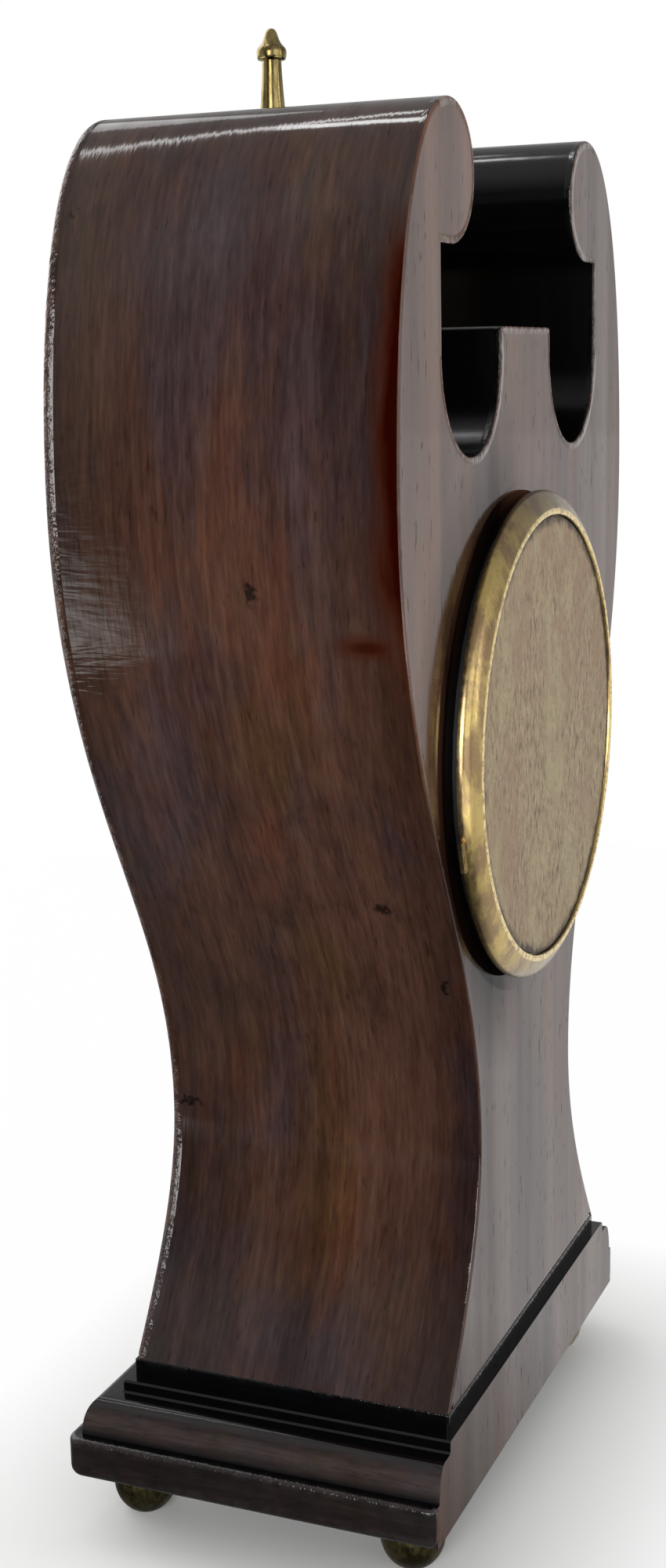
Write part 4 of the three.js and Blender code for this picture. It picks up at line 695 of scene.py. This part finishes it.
def slab_mesh(outer, holes, rows, upright=False, flush=None):
    """A thick plate with rows along Y, or along Z when upright; points at the flush depth keep it."""
    vertices, faces, edge, rings = [], [], [], []
    for number, loop in enumerate([outer, *holes]):
        ring = []
        for place, inset, weight in rows:
            start = len(vertices)
            moved = inset_loop(loop, inset if number == 0 else -inset)
            for (a, b), (_, kept) in zip(moved, loop):
                stays = flush is not None and abs(kept - flush) < 0.01 * MM
                b = flush if stays else b
                vertices.append((a, b, place) if upright else (a, place, b))
                edge.append(0.0 if stays else weight)
            ring.append(range(start, start + len(loop)))
        rings.append(ring)
        for low, high in zip(ring, ring[1:]):
            for i in range(len(loop)):
                j = (i + 1) % len(loop)
                faces.append((low[i], low[j], high[j], high[i]))
    second = 1 if upright else 2
    for end in (0, -1):
        flat = [i for ring in rings for i in ring[end]]
        loops = []
        for ring in rings:
            loops.append([Vector((vertices[i][0], vertices[i][second], 0.0)) for i in ring[end]])
        faces.extend(tuple(flat[k] for k in corner) for corner in tessellate_polygon(loops))
    return vertices, faces, edge


def turned_mesh(profile, centre, axis, segments):
    """A lathe turning of (radius, along) points in mm: a ring, or closed where it meets the axis."""
    vertices, faces, rings = [], [], []
    for radius, along in profile:
        count = segments if radius > 0 else 1
        rings.append(range(len(vertices), len(vertices) + count))
        for k in range(count):
            a, b = radius * cos(tau * k / segments), radius * sin(tau * k / segments)
            turned = (a, b, along) if axis == "Z" else (a, along, b)
            vertices.append(tuple(v * MM + c for v, c in zip(turned, centre)))
    pairs = list(zip(rings, rings[1:]))
    if profile[0][0] > 0:
        pairs.append((rings[-1], rings[0]))
    for low, high in pairs:
        for i in range(segments):
            j = (i + 1) % segments
            corners = (low[i % len(low)], low[j % len(low)], high[j % len(high)], high[i % len(high)])
            face = tuple(dict.fromkeys(corners))
            if len(face) > 2:
                faces.append(face)
    return vertices, faces


def prism_mesh(low, high):
    """A prism between two like loops of points."""
    count = len(low)
    faces = [tuple(range(count)), tuple(range(count, 2 * count))]
    faces += [(i, (i + 1) % count, count + (i + 1) % count, count + i) for i in range(count)]
    return [*low, *high], faces


def smooth_profile(points, steps=5):
    """A smooth curve through (radius, along) points, sharp where a point is doubled."""
    out = []
    last = len(points) - 1
    for i in range(last):
        p0, p1, p2, p3 = (Vector(points[max(0, min(last, k))]) for k in (i - 1, i, i + 1, i + 2))
        if p1 == p2:
            continue
        for k in range(steps):
            t = k / steps
            q = 0.5 * (2 * p1 + (p2 - p0) * t + (2 * p0 - 5 * p1 + 4 * p2 - p3) * t ** 2
                       + (3 * p1 - p0 - 3 * p2 + p3) * t ** 3)
            out.append((max(0.0, q.x), q.y))
    return [*out, tuple(points[-1])]


def bezier(p0, p1, p2, p3, steps):
    rows = []
    for k in range(steps + 1):
        t = k / steps
        s = 1 - t
        shares = (s ** 3, 3 * s * s * t, 3 * s * t * t, t ** 3)
        rows.append(tuple(sum(w * p[axis] for w, p in zip(shares, (p0, p1, p2, p3))) for axis in (0, 1)))
    return rows


def arc(cx, cy, rx, ry, start, end, steps):
    turns = [start + (end - start) * k / steps for k in range(steps + 1)]
    return [(cx + rx * cos(a), cy + ry * sin(a)) for a in turns]


def circle(radius, height, segments=128):
    return arc(0.0, height, radius, radius, 0.0, tau, segments)[:-1]


def mirrored(points):
    return [(-x, z) for x, z in reversed(points)]


def standing(points):
    """Outline points in mm, put at the case's height in metres."""
    return [(x * MM, z * MM + case_bottom) for x, z in points]


def side_points():
    """The right side from the case's foot over the ear to the ear's underside."""
    top = EAR_HEIGHT + EAR_RADIUS
    waist = (WAIST_HALF, WAIST_HEIGHT)
    belly = (BELLY_HALF, BELLY_HEIGHT)
    rows = bezier((CASE_FOOT_HALF, 0.0), FOOT_PULL, (WAIST_HALF, WAIST_PULL[0]), waist, 40)
    rows += bezier(waist, (WAIST_HALF, WAIST_PULL[1]), (BELLY_HALF, BELLY_PULL[0]), belly, 60)[1:]
    rows += bezier(belly, (BELLY_HALF, BELLY_PULL[1]), (EAR_X + EAR_PULL, top), (EAR_X, top), 48)[1:]
    return rows + arc(EAR_X, EAR_HEIGHT, EAR_RADIUS, EAR_RADIUS, QUARTER, 3 * QUARTER, 48)[1:]


def throat_points():
    """The right half of the throat, from the ear's underside round the slot to the tongue's top."""
    corner = SLOT_X - SLOT_HALF - TONGUE_ROUND
    rows = [(SLOT_X + SLOT_HALF, EAR_HEIGHT - EAR_RADIUS)]
    rows += arc(SLOT_X, SLOT_HEIGHT, SLOT_HALF, SLOT_DROP, 0.0, -pi, 56)
    return rows + arc(corner, TONGUE_HEIGHT - TONGUE_ROUND, TONGUE_ROUND, TONGUE_ROUND, 0.0, QUARTER, 5)


def in_throat(centre, normal):
    """Cut faces inside the throat, painted black as shade."""
    height = (centre.z - case_bottom) / MM
    across = abs(centre.x) / MM
    under_ear = height < EAR_HEIGHT and across < SLOT_X + SLOT_HALF + THROAT_MARGIN
    return abs(normal.y) < 0.5 and height > SLOT_HEIGHT - SLOT_DROP - THROAT_MARGIN and under_ear


def ear_inside(centre, normal):
    """The polished side of an ear that faces the other ear, painted black as shade."""
    above = (centre.z - case_bottom) / MM > EAR_HEIGHT - EAR_RADIUS + 0.2
    inside = abs(centre.x) / MM < EAR_X - 0.35 * EAR_RADIUS
    return abs(normal.y) < 0.5 and above and inside


def paint_throat_shade(piece):
    """Black painted shade in the throat and on the insides of the ears."""
    paint(piece, THROAT_BLACK, in_throat)
    paint(piece, BLACK_WOOD, ear_inside)


def case_outline():
    half = side_points() + throat_points()
    return standing(half + mirrored(half))


def make_front_board():
    rows = rounded_rows(front_low[1], front_high[1], FRONT_EDGE_ROUND * MM, 0.0)
    made = slab_mesh(case_outline(), [circle(FRONT_HOLE * MM, drum_z)], rows)
    front = finish_piece("front_board_polished", made, WOOD, "case", ["case_front_board"])
    paint(front, FRONT_WOOD, lambda centre, normal: normal.y < -0.3)
    paint_throat_shade(front)


def make_back_board():
    """The back board, whose edge is rubbed bare round the throat and little elsewhere."""
    rows = rounded_rows(back_low[1], back_high[1], 0.0, BACK_EDGE_ROUND * MM)
    vertices, faces, edge = slab_mesh(case_outline(), [circle(BACK_HOLE * MM, drum_z)], rows)
    throat_half = (SLOT_X + SLOT_HALF + THROAT_MARGIN) * MM
    throat_low = (SLOT_HEIGHT - SLOT_DROP - 4 * THROAT_MARGIN) * MM + case_bottom
    rubbed = []
    for weight, (x, _, z) in zip(edge, vertices):
        beside_throat = abs(x) < throat_half and z > throat_low
        rubbed.append(weight if beside_throat else 0.1 * weight)
    made = (vertices, faces, rubbed)
    back = finish_piece("back_board_polished", made, WOOD, "case", ["case_back_board"])
    paint(back, BACK_WOOD, lambda centre, normal: normal.y > 0.3)
    paint_throat_shade(back)


def make_side_skins():
    rows = rounded_rows(front_high[1], back_low[1], 0.0, 0.0)
    right = side_points()
    for name, points in (("right", right), ("left", mirrored(right))):
        inner = []
        for i, (x, z) in enumerate(points):
            ax, az = points[max(0, i - 1)]
            bx, bz = points[min(len(points) - 1, i + 1)]
            length = hypot(bx - ax, bz - az)
            inner.append((x - (bz - az) / length * SKIN, max(0.0, z + (bx - ax) / length * SKIN)))
        made = slab_mesh(standing(points + inner[::-1]), [], rows)
        skin = finish_piece(f"side_{name}_polished", made, WOOD, "case", [f"case_side_{name}"])
        paint_throat_shade(skin)


def make_throat():
    rows = rounded_rows(front_high[1], back_low[1], 0.0, 0.0)
    under = EAR_HEIGHT - EAR_RADIUS
    lap = EAR_X + 0.3
    seen = [(lap, under)] + throat_points()
    hidden = arc(SLOT_X, SLOT_HEIGHT, SLOT_HALF + SKIN, SLOT_DROP + SKIN, -QUARTER, 0.0, 24)
    hidden += [(SLOT_X + SLOT_HALF + SKIN, under + SKIN), (lap, under + SKIN)]
    made = slab_mesh(standing(seen + mirrored(seen) + mirrored(hidden) + hidden), [], rows)
    # The throat's lining is painted black as shade
    finish_piece("throat_painted_shade_black", made, THROAT_BLACK, "case", ["throat_lining"])


def faces_back(centre, normal):
    return normal.y > 0.9


def base_loop(half, low, high, radius, back_radius):
    """An outline of the base, round at its corners; a point beside each round keeps the faces flat."""
    front = arc(half - radius, low + radius, radius, radius, -QUARTER, 0.0, 8)
    back = arc(half - back_radius, high - back_radius, back_radius, back_radius, 0.0, QUARTER, 5)
    beside = BESIDE_ROUND * MM
    loop = [(half - radius - beside, low), *front, (half, low + radius + beside)]
    loop += [(half, high - back_radius - beside), *back, (half - back_radius - beside, high)]
    return loop + mirrored(loop)


def make_plinth():
    corners = in_metres((PLINTH_CORNER, PLINTH_BACK_CORNER))
    loop = base_loop(plinth_high[0], plinth_low[1], plinth_high[1], *corners)
    rows = rounded_rows(plinth_low[2], plinth_high[2], PLINTH_LOW_ROUND * MM, PLINTH_TOP_ROUND * MM)
    made = slab_mesh(loop, [], rows, True, plinth_high[1])
    plinth = finish_piece("plinth_polished", made, DARK_WOOD, "case", ["plinth"])
    paint(plinth, BLACK_WOOD, lambda centre, normal: normal.z > 0.98)
    paint(plinth, BACK_WOOD, faces_back)


def make_strip():
    loop = base_loop(strip_high[0], strip_low[1], strip_high[1], ARRIS * MM, ARRIS * MM)
    made = slab_mesh(loop, [], rounded_rows(strip_low[2], strip_high[2], 0.0, ARRIS * MM), True)
    finish_piece("strip_ebonised", made, BLACK_WOOD, "case", ["ebonised_strip"])


def moulding_profile():
    """An ovolo with a fillet above it, in mm out from the base's core and up."""
    low, high, fillet = (MOULDING_DEPTH - inset for inset in (OVOLO_INSET, OVOLO_TOP_INSET, FILLET_INSET))
    top = OVOLO_HEIGHT + FILLET_HEIGHT
    profile = [(0.0, 0.0), *arc(high, 0.0, low - high, OVOLO_HEIGHT, 0.0, QUARTER, 20)]
    profile += [(fillet + ARRIS, OVOLO_HEIGHT), (fillet, OVOLO_HEIGHT + ARRIS)]
    return profile + [(fillet, top - ARRIS), (fillet - ARRIS, top), (0.0, top)]


def moulding_end(side, mitred):
    """The outline at a moulding's end: mitred at a front corner, or flat at the back."""
    loop = []
    for out, up in moulding_profile():
        depth = core_low[1] - out * MM if mitred else core_high[1]
        loop.append((side * (core_high[0] + out * MM), depth, core_low[2] + up * MM))
    return loop


def make_mouldings():
    """Three sticks round the base's core, black on their fillets."""
    sticks = {"right": (moulding_end(1, False), moulding_end(1, True)),
              "left": (moulding_end(-1, True), moulding_end(-1, False)),
              "front": (moulding_end(1, True), moulding_end(-1, True))}
    ledge = core_low[2] + (OVOLO_HEIGHT - 0.2) * MM
    for name, ends in sticks.items():
        stick = finish_piece(f"moulding_{name}", prism_mesh(*ends), MOULDING_WOOD, "case",
                             [f"base_moulding_{name}"], 28)
        paint(stick, BLACK_WOOD, lambda centre, normal: centre.z > ledge)
        paint(stick, BACK_WOOD, faces_back)
    dress(BLACK_WOOD, "base_core")
    paint(solids["base_core"], BACK_WOOD, faces_back)


def make_feet():
    start = -acos(FOOT_FLAT / FOOT_RADIUS)
    end = acos(FOOT_NECK / FOOT_RADIUS)
    top = FOOT_HEIGHT + STUD_LENGTH
    swell = arc(0.0, FOOT_BELLY, FOOT_RADIUS, FOOT_BELLY / sin(-start), start, end, 24)
    stud = [(STUD_RADIUS, FOOT_HEIGHT), (STUD_RADIUS, top), (0.0, top)]
    profile = [(0.0, 0.0), *swell, (FOOT_NECK, FOOT_HEIGHT), *stud]
    for name in ("front_left", "front_right", "back_left", "back_right"):
        low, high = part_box(f"foot_{name}")
        centre = ((low[0] + high[0]) / 2, (low[1] + high[1]) / 2, 0.0)
        made = turned_mesh(profile, centre, "Z", SMALL_STEPS)
        finish_piece(f"bun_{name}", made, FOOT_BRASS, "case", [f"foot_{name}"])


def make_finial():
    """A turned foot on a stud, a tapering spire and an acorn at its tip."""
    low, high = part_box("finial")
    centre = (0.0, (low[1] + high[1]) / 2, low[2] + STUD_LENGTH * MM)
    edge = (FINIAL_FOOT, 0.0)
    stud = [(0.0, -STUD_LENGTH), (STUD_RADIUS, -STUD_LENGTH), (STUD_RADIUS, 0.0), edge]
    foot = [edge, edge, (FINIAL_FOOT, 1.2), (8.0, 1.7), (6.6, 2.7), (5.5, 4.0), (5.4, 6.4), (5.7, 7.0),
            (6.7, 7.5), (7.2, 8.0), (7.25, 8.8), (6.9, 9.6), (6.5, 10.1), (SPIRE_RADIUS, SPIRE_START)]
    spire = []
    for k in range(1, SPIRE_STEPS + 1):
        share = k / SPIRE_STEPS
        radius = FINIAL_NECK + (SPIRE_RADIUS - FINIAL_NECK) * (1 - share) ** 1.4
        spire.append((radius, SPIRE_START + SPIRE_HEIGHT * share))
    acorn = [(0.65, 0.0), (0.65, 0.0), (0.88, 0.02), (0.97, 0.1), (1.0, 0.25), (0.94, 0.37), (0.8, 0.45),
             (0.66, 0.53), (0.54, 0.64), (0.46, 0.75), (0.38, 0.86), (0.28, 0.94), (0.16, 0.985), (0.0, 1.0)]
    acorn_start = SPIRE_START + SPIRE_HEIGHT
    tip = [(out * ACORN_RADIUS, acorn_start + up * ACORN_HEIGHT) for out, up in acorn]
    made = turned_mesh(stud + smooth_profile(foot + spire + tip), centre, "Z", SMALL_STEPS)
    finish_piece("finial_turned", made, FINIAL_BRASS, "case", ["finial"])


def make_cover_rim():
    """The cover's bevelled rim: black painted shade facing the case, a painted highlight on its ridge."""
    edge = (COVER_RADIUS, COVER_FRONT)
    lip = (COVER_LIP, 38.35)
    flank = [edge, edge, (COVER_RADIUS + 0.02, 35.6), (47.75, 36.25), (47.2, 36.95), (46.2, 37.65),
             (45.1, 38.25), (44.3, 38.6), (43.75, COVER_BACK), (43.35, 38.6), lip, lip]
    rim = [(COVER_SEAT, PANEL_SEAT - 1.0), (45.3, COVER_FRONT + 1.2), (46.6, COVER_FRONT)]
    rim += [*smooth_profile(flank), (COVER_LIP, PANEL_SEAT), (COVER_SEAT, PANEL_SEAT)]
    made = turned_mesh(rim, drum_middle, "Y", DRUM_STEPS)
    ring = finish_piece("cover_rim_turned", made, RIM_BRASS, "back_cover", ["back_cover_rim"])
    # The rim's underside is painted black as shade
    paint(ring, SHADE_BLACK_BRASS, lambda place, normal: normal.y < -0.3)
    # A painted highlight on the rim's ridge
    crest = middle_y + (COVER_BACK - RIDGE) * MM
    paint(ring, RIDGE_HIGHLIGHT_BRASS, lambda place, normal: place.y > crest)


def make_cover_panel():
    top = PANEL_SEAT + PANEL_THICKNESS
    sheet = [(0.0, PANEL_SEAT), (PANEL_RADIUS, PANEL_SEAT), (PANEL_RADIUS, top - PANEL_CHAMFER),
             (PANEL_RADIUS - PANEL_CHAMFER, top), (0.0, top)]
    made = turned_mesh(sheet, drum_middle, "Y", DRUM_STEPS)
    finish_piece("cover_panel_sheet", made, PANEL, "back_cover", ["back_cover_panel"])


def make_cover_fittings():
    """The hinge leaf with its knuckle, and the thumb lip across from it."""
    leaf = [(HINGE_X, LEAF_FRONT), (LEAF_INNER, LEAF_FRONT), (LEAF_INNER, LEAF_BACK), (HINGE_X, LEAF_BACK)]
    lip = [(LIP_INNER, LEAF_FRONT), (LIP_REACH, LEAF_FRONT), (LIP_REACH, LEAF_BACK - LIP_CHAMFER),
           (LIP_REACH - LIP_CHAMFER, LEAF_BACK), (LIP_INNER, LEAF_BACK)]
    fittings = (("hinge_leaf", leaf, KNUCKLE_HALF, 0.0), ("thumb_lip", lip, LIP_HALF, LIP_ANGLE))
    for name, shape, half, turn in fittings:
        c, s = cos(turn), sin(turn)
        loops = []
        for z in (-half, half):
            loops.append([((x * c - z * s) * MM, y * MM + middle_y, (x * s + z * c) * MM + drum_z)
                          for x, y in shape])
        finish_piece(f"cover_{name}", prism_mesh(*loops), RIM_BRASS, "back_cover")
    knuckle = [(PIN_HOLE, -KNUCKLE_HALF), (KNUCKLE_RADIUS, -KNUCKLE_HALF),
               (KNUCKLE_RADIUS, KNUCKLE_HALF), (PIN_HOLE, KNUCKLE_HALF)]
    place = (HINGE_X * MM, COVER_FRONT * MM + middle_y, drum_z)
    made = turned_mesh(knuckle, place, "Z", PIN_STEPS)
    finish_piece("cover_hinge_knuckle", made, RIM_BRASS, "back_cover")


def make_bezel():
    face = -CASE_FACE
    crown = face - BEZEL_STAND
    edge = (BEZEL_RADIUS, face)
    lip = (BEZEL_LIP, crown + 1.3)
    outer = [edge, edge, (BEZEL_RADIUS, face - 1.8), (46.9, face - 2.7), (45.4, crown + 0.2), (43.55, crown),
             (41.6, crown + 0.25), (40.2, crown + 0.8), lip, lip]
    spigot_end = face + SPIGOT_LENGTH
    ring = [(BEZEL_BORE, face - BEZEL_SEAT), (BEZEL_BORE, spigot_end), (SPIGOT_RADIUS, spigot_end)]
    ring += [(SPIGOT_RADIUS, face), *smooth_profile(outer), (BEZEL_LIP, face - BEZEL_SEAT)]
    made = turned_mesh(ring, drum_middle, "Y", DRUM_STEPS)
    finish_piece("bezel_turned", made, BRASS, "case", ["front_bezel"])
    dress(GLASS, "front_glass")


def make_minute_ring(ink_low):
    for minute in range(60):
        wide, long = HOUR_MARK if minute % 5 == 0 else MINUTE_MARK
        inner = MINUTE_RING - long
        corners = ((inner, -wide), (inner, wide), (MINUTE_RING, wide), (MINUTE_RING, -wide))
        turn = tau * minute / 60
        s, c = sin(turn), cos(turn)
        loops = []
        for y in (ink_low, ink_low + 1.5 * INK * MM):
            loops.append([((r * s + w * c) * MM, y, (r * c - w * s) * MM + drum_z) for r, w in corners])
        finish_piece(f"dial_minute_{minute}", prism_mesh(*loops), BLACK_PAINT, "case")


def make_numerals(ink_low):
    ring = HOUR_RING * MM
    for hour, text in enumerate(HOURS.split()):
        curve = bpy.data.curves.new(f"numeral_{hour}", "FONT")
        curve.body = text
        curve.align_x = "CENTER"
        curve.align_y = "CENTER"
        curve.size = NUMERAL_SIZE * MM
        curve.extrude = INK * MM / 2
        curve.space_character = 0.92
        curve.materials.append(BLACK_PAINT)
        letters = put(f"dial_numeral_{hour}", curve)
        turn = tau * hour / 12
        spot = Vector((ring * sin(turn), ink_low + INK * MM, ring * cos(turn) + drum_z))
        facing = Matrix.Rotation(turn, 4, "Y") @ Matrix.Rotation(QUARTER, 4, "X")
        letters.matrix_world = Matrix.Translation(spot) @ facing
        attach(letters, "case")


def make_dial():
    dress(ENAMEL, "dial")
    ink_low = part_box("dial")[0][1] - 2 * INK * MM
    make_minute_ring(ink_low)
    make_numerals(ink_low)


def dress_movement():
    dress(MOVEMENT_BRASS, "dial_pan", "front_plate", "back_plate", "pillar_1", "pillar_2", "pillar_3",
          "pillar_4", "barrel", "barrel_cap", "intermediate_wheel", "centre_wheel", "third_wheel",
          "fourth_wheel", "minute_wheel", "hour_wheel", "hand_setting_knob", "platform", "balance_wheel",
          "balance_cock")
    dress(BRASS, "strap_left", "strap_right", "back_ring")
    # The back ring's flank, in the gap under the rim, is painted black as shade
    paint(solids["back_ring"], SHADE_BLACK_BRASS, lambda place, normal: abs(normal.y) < 0.5)
    dress(BLUED, "hour_hand", "minute_hand", "hairspring")
    dress(STEEL, "mainspring", "winding_arbor", "ratchet_wheel", "click", "click_spring", "cannon_pinion",
          "escape_wheel", "pallet_lever", "regulator", "strap_screw_left", "strap_screw_right",
          "cover_hinge_pin")
    dress(TIMBER, "case_bottom_board")


def dim_room(tree, spot):
    """One towards the unlit part of the room, beside the camera, and nought round about it."""
    way = tree.vector("NORMALIZE", tree.vector("MULTIPLY", spot, (1.0, 1.0, 0.0)))
    middle = (cos(DIM_AZIMUTH), sin(DIM_AZIMUTH), 0.0)
    facing = tree.add("ShaderNodeVectorMath", {0: way, 1: middle}, operation="DOT_PRODUCT")
    return tree.span(facing.outputs["Value"], cos(DIM_HALF), cos(DIM_HALF * 0.8))


def seen_directly(tree, path):
    """One for what the camera sees, straight or through the glass."""
    return tree.larger(path["Is Camera Ray"], path["Is Transmission Ray"])


def seen_floor(tree, spot):
    """What the camera sees: a pale floor that takes the shadow round the base and runs out to white."""
    beyond = tree.vector("SUBTRACT", tree.vector("ABSOLUTE", spot), (plinth_high[0], plinth_high[1], 0.0))
    clear = tree.length(tree.vector("MAXIMUM", beyond))
    fading = tree.span(clear, 0.0, SHADOW_REACH, 0.05, 0.97)
    paling = tree.larger(fading, tree.span(clear, *WHITE_EDGE))
    near = tree.add("ShaderNodeBsdfDiffuse", {"Color": (0.88, 0.88, 0.87, 1.0)}).outputs[0]
    white = tree.add("ShaderNodeEmission", {"Color": (1.0, 1.0, 1.0, 1.0), "Strength": 1.0}).outputs[0]
    return tree.blend_shaders(paling, near, white)


def mirrored_floor(tree, spot, path):
    """What the polish mirrors: white far side with a painted shadow, a painted window glow on the near side,
    else dim.
    """
    across, depth, _ = tree.axes(spot)
    away = tree.length(spot)
    behind = tree.span(across, *FAR_SIDE, ROOM_LEVEL, DIM_LEVEL)
    starting = tree.span(away, *WINDOW_EDGE, DIM_LEVEL, 1.0)
    window = tree.times(starting, tree.span(away, *WINDOW_FADE, WINDOW_LEVEL, ROOM_LEVEL))
    beside = tree.times(window, tree.span(dim_room(tree, spot), 0.0, 1.0, 1.0, DIM_LEVEL))
    beside = tree.times(beside, tree.span(across, 0.0, 0.1))
    # A painted shadow of the clock darkens the far side of what the polish mirrors
    shaded = tree.span(depth, *SHADED_DEPTH, 0.3, 1.0)
    far_side = tree.times(shaded, tree.span(across, *FAR_SIDE, 1.0, 0.0))
    white = tree.times(path["Is Glossy Ray"], far_side)
    level = tree.larger(tree.larger(behind, beside), white)
    return tree.add("ShaderNodeEmission", {"Strength": level}).outputs[0]


def make_floor():
    """A pale floor under the clock."""
    square = ((-1, -1), (1, -1), (1, 1), (-1, 1))
    corners = [(x * FLOOR_REACH, y * FLOOR_REACH, 0.0) for x, y in square]
    mesh = bpy.data.meshes.new("floor")
    mesh.from_pydata(corners, [], [(0, 1, 2, 3)])
    material, tree = new_material("studio_floor")
    spot = tree.place()
    path = tree.add("ShaderNodeLightPath").outputs
    mirror = mirrored_floor(tree, spot, path)
    both = tree.blend_shaders(seen_directly(tree, path), mirror, seen_floor(tree, spot))
    tree.add("ShaderNodeOutputMaterial", {"Surface": both})
    mesh.materials.append(material)
    floor = put("floor", mesh)


def make_room():
    """A white backdrop on the far side, a grey room with one dim part and a pale ceiling."""
    world = bpy.data.worlds.new("studio")
    scene.world = world
    tree = Tree(world)
    spot = tree.add("ShaderNodeTexCoord").outputs["Generated"]
    across, _, up = tree.axes(spot)
    far_side = tree.span(across, *BACKDROP_EDGE, 1.0, 0.0)
    backdrop = tree.times(far_side, tree.span(up, *BACKDROP_RISE, 0.9, 0.25))
    ceiling = tree.span(up, *CEILING_RISE, DIM_LEVEL, ROOM_LEVEL)
    room = tree.span(dim_room(tree, spot), 0.0, 1.0, ROOM_LEVEL, DIM_LEVEL)
    level = tree.larger(tree.larger(backdrop, ceiling), room)
    path = tree.add("ShaderNodeLightPath").outputs
    mirrored_white = tree.times(path["Is Glossy Ray"], backdrop)
    white = tree.larger(seen_directly(tree, path), mirrored_white)
    strength = tree.larger(level, white)
    sky = tree.add("ShaderNodeBackground", {"Color": (1.0, 1.0, 1.0, 1.0), "Strength": strength})
    tree.add("ShaderNodeOutputWorld", {"Surface": sky.outputs[0]})


def make_lamps():
    """Three large soft lamps, and three small ones whose glints show on the rim and the ears."""
    for name, place, target, width, height, watts, spin in LAMPS:
        data = bpy.data.lights.new(name, "AREA")
        data.shape = "RECTANGLE"
        data.size = width
        data.size_y = height
        data.energy = watts
        lamp = put(name, data)
        aim = (Vector(target) - Vector(place)).to_track_quat("-Z", "Y").to_matrix().to_4x4()
        lamp.matrix_world = Matrix.Translation(place) @ aim @ Matrix.Rotation(spin, 4, "Z")


def make_camera():
    yaw = CAMERA_AZIMUTH + pi + CAMERA_SIDE
    x = CAMERA_DISTANCE * cos(CAMERA_AZIMUTH)
    y = CAMERA_DISTANCE * sin(CAMERA_AZIMUTH) + middle_y
    place = Vector((x, y, CAMERA_HEIGHT + case_bottom))
    level = cos(CAMERA_PITCH)
    forward = Vector((cos(yaw) * level, sin(yaw) * level, -sin(CAMERA_PITCH)))
    right = Vector((sin(yaw), -cos(yaw), 0.0))
    up = right.cross(forward)
    c, s = cos(CAMERA_ROLL), sin(CAMERA_ROLL)
    axes = Matrix((c * right + s * up, c * up - s * right, -forward)).transposed().to_4x4()
    data = bpy.data.cameras.new("camera")
    data.lens = CAMERA_LENS
    data.clip_start = 0.01
    camera = put("camera", data)
    camera.matrix_world = Matrix.Translation(place) @ axes
    scene.camera = camera


make_camera()
make_front_board()
make_back_board()
make_side_skins()
make_throat()
make_plinth()
make_strip()
make_mouldings()
make_feet()
make_finial()
make_cover_rim()
make_cover_panel()
make_cover_fittings()
make_bezel()
make_dial()
dress_movement()
make_floor()
make_room()
make_lamps()
scene.view_settings.view_transform = "Standard"
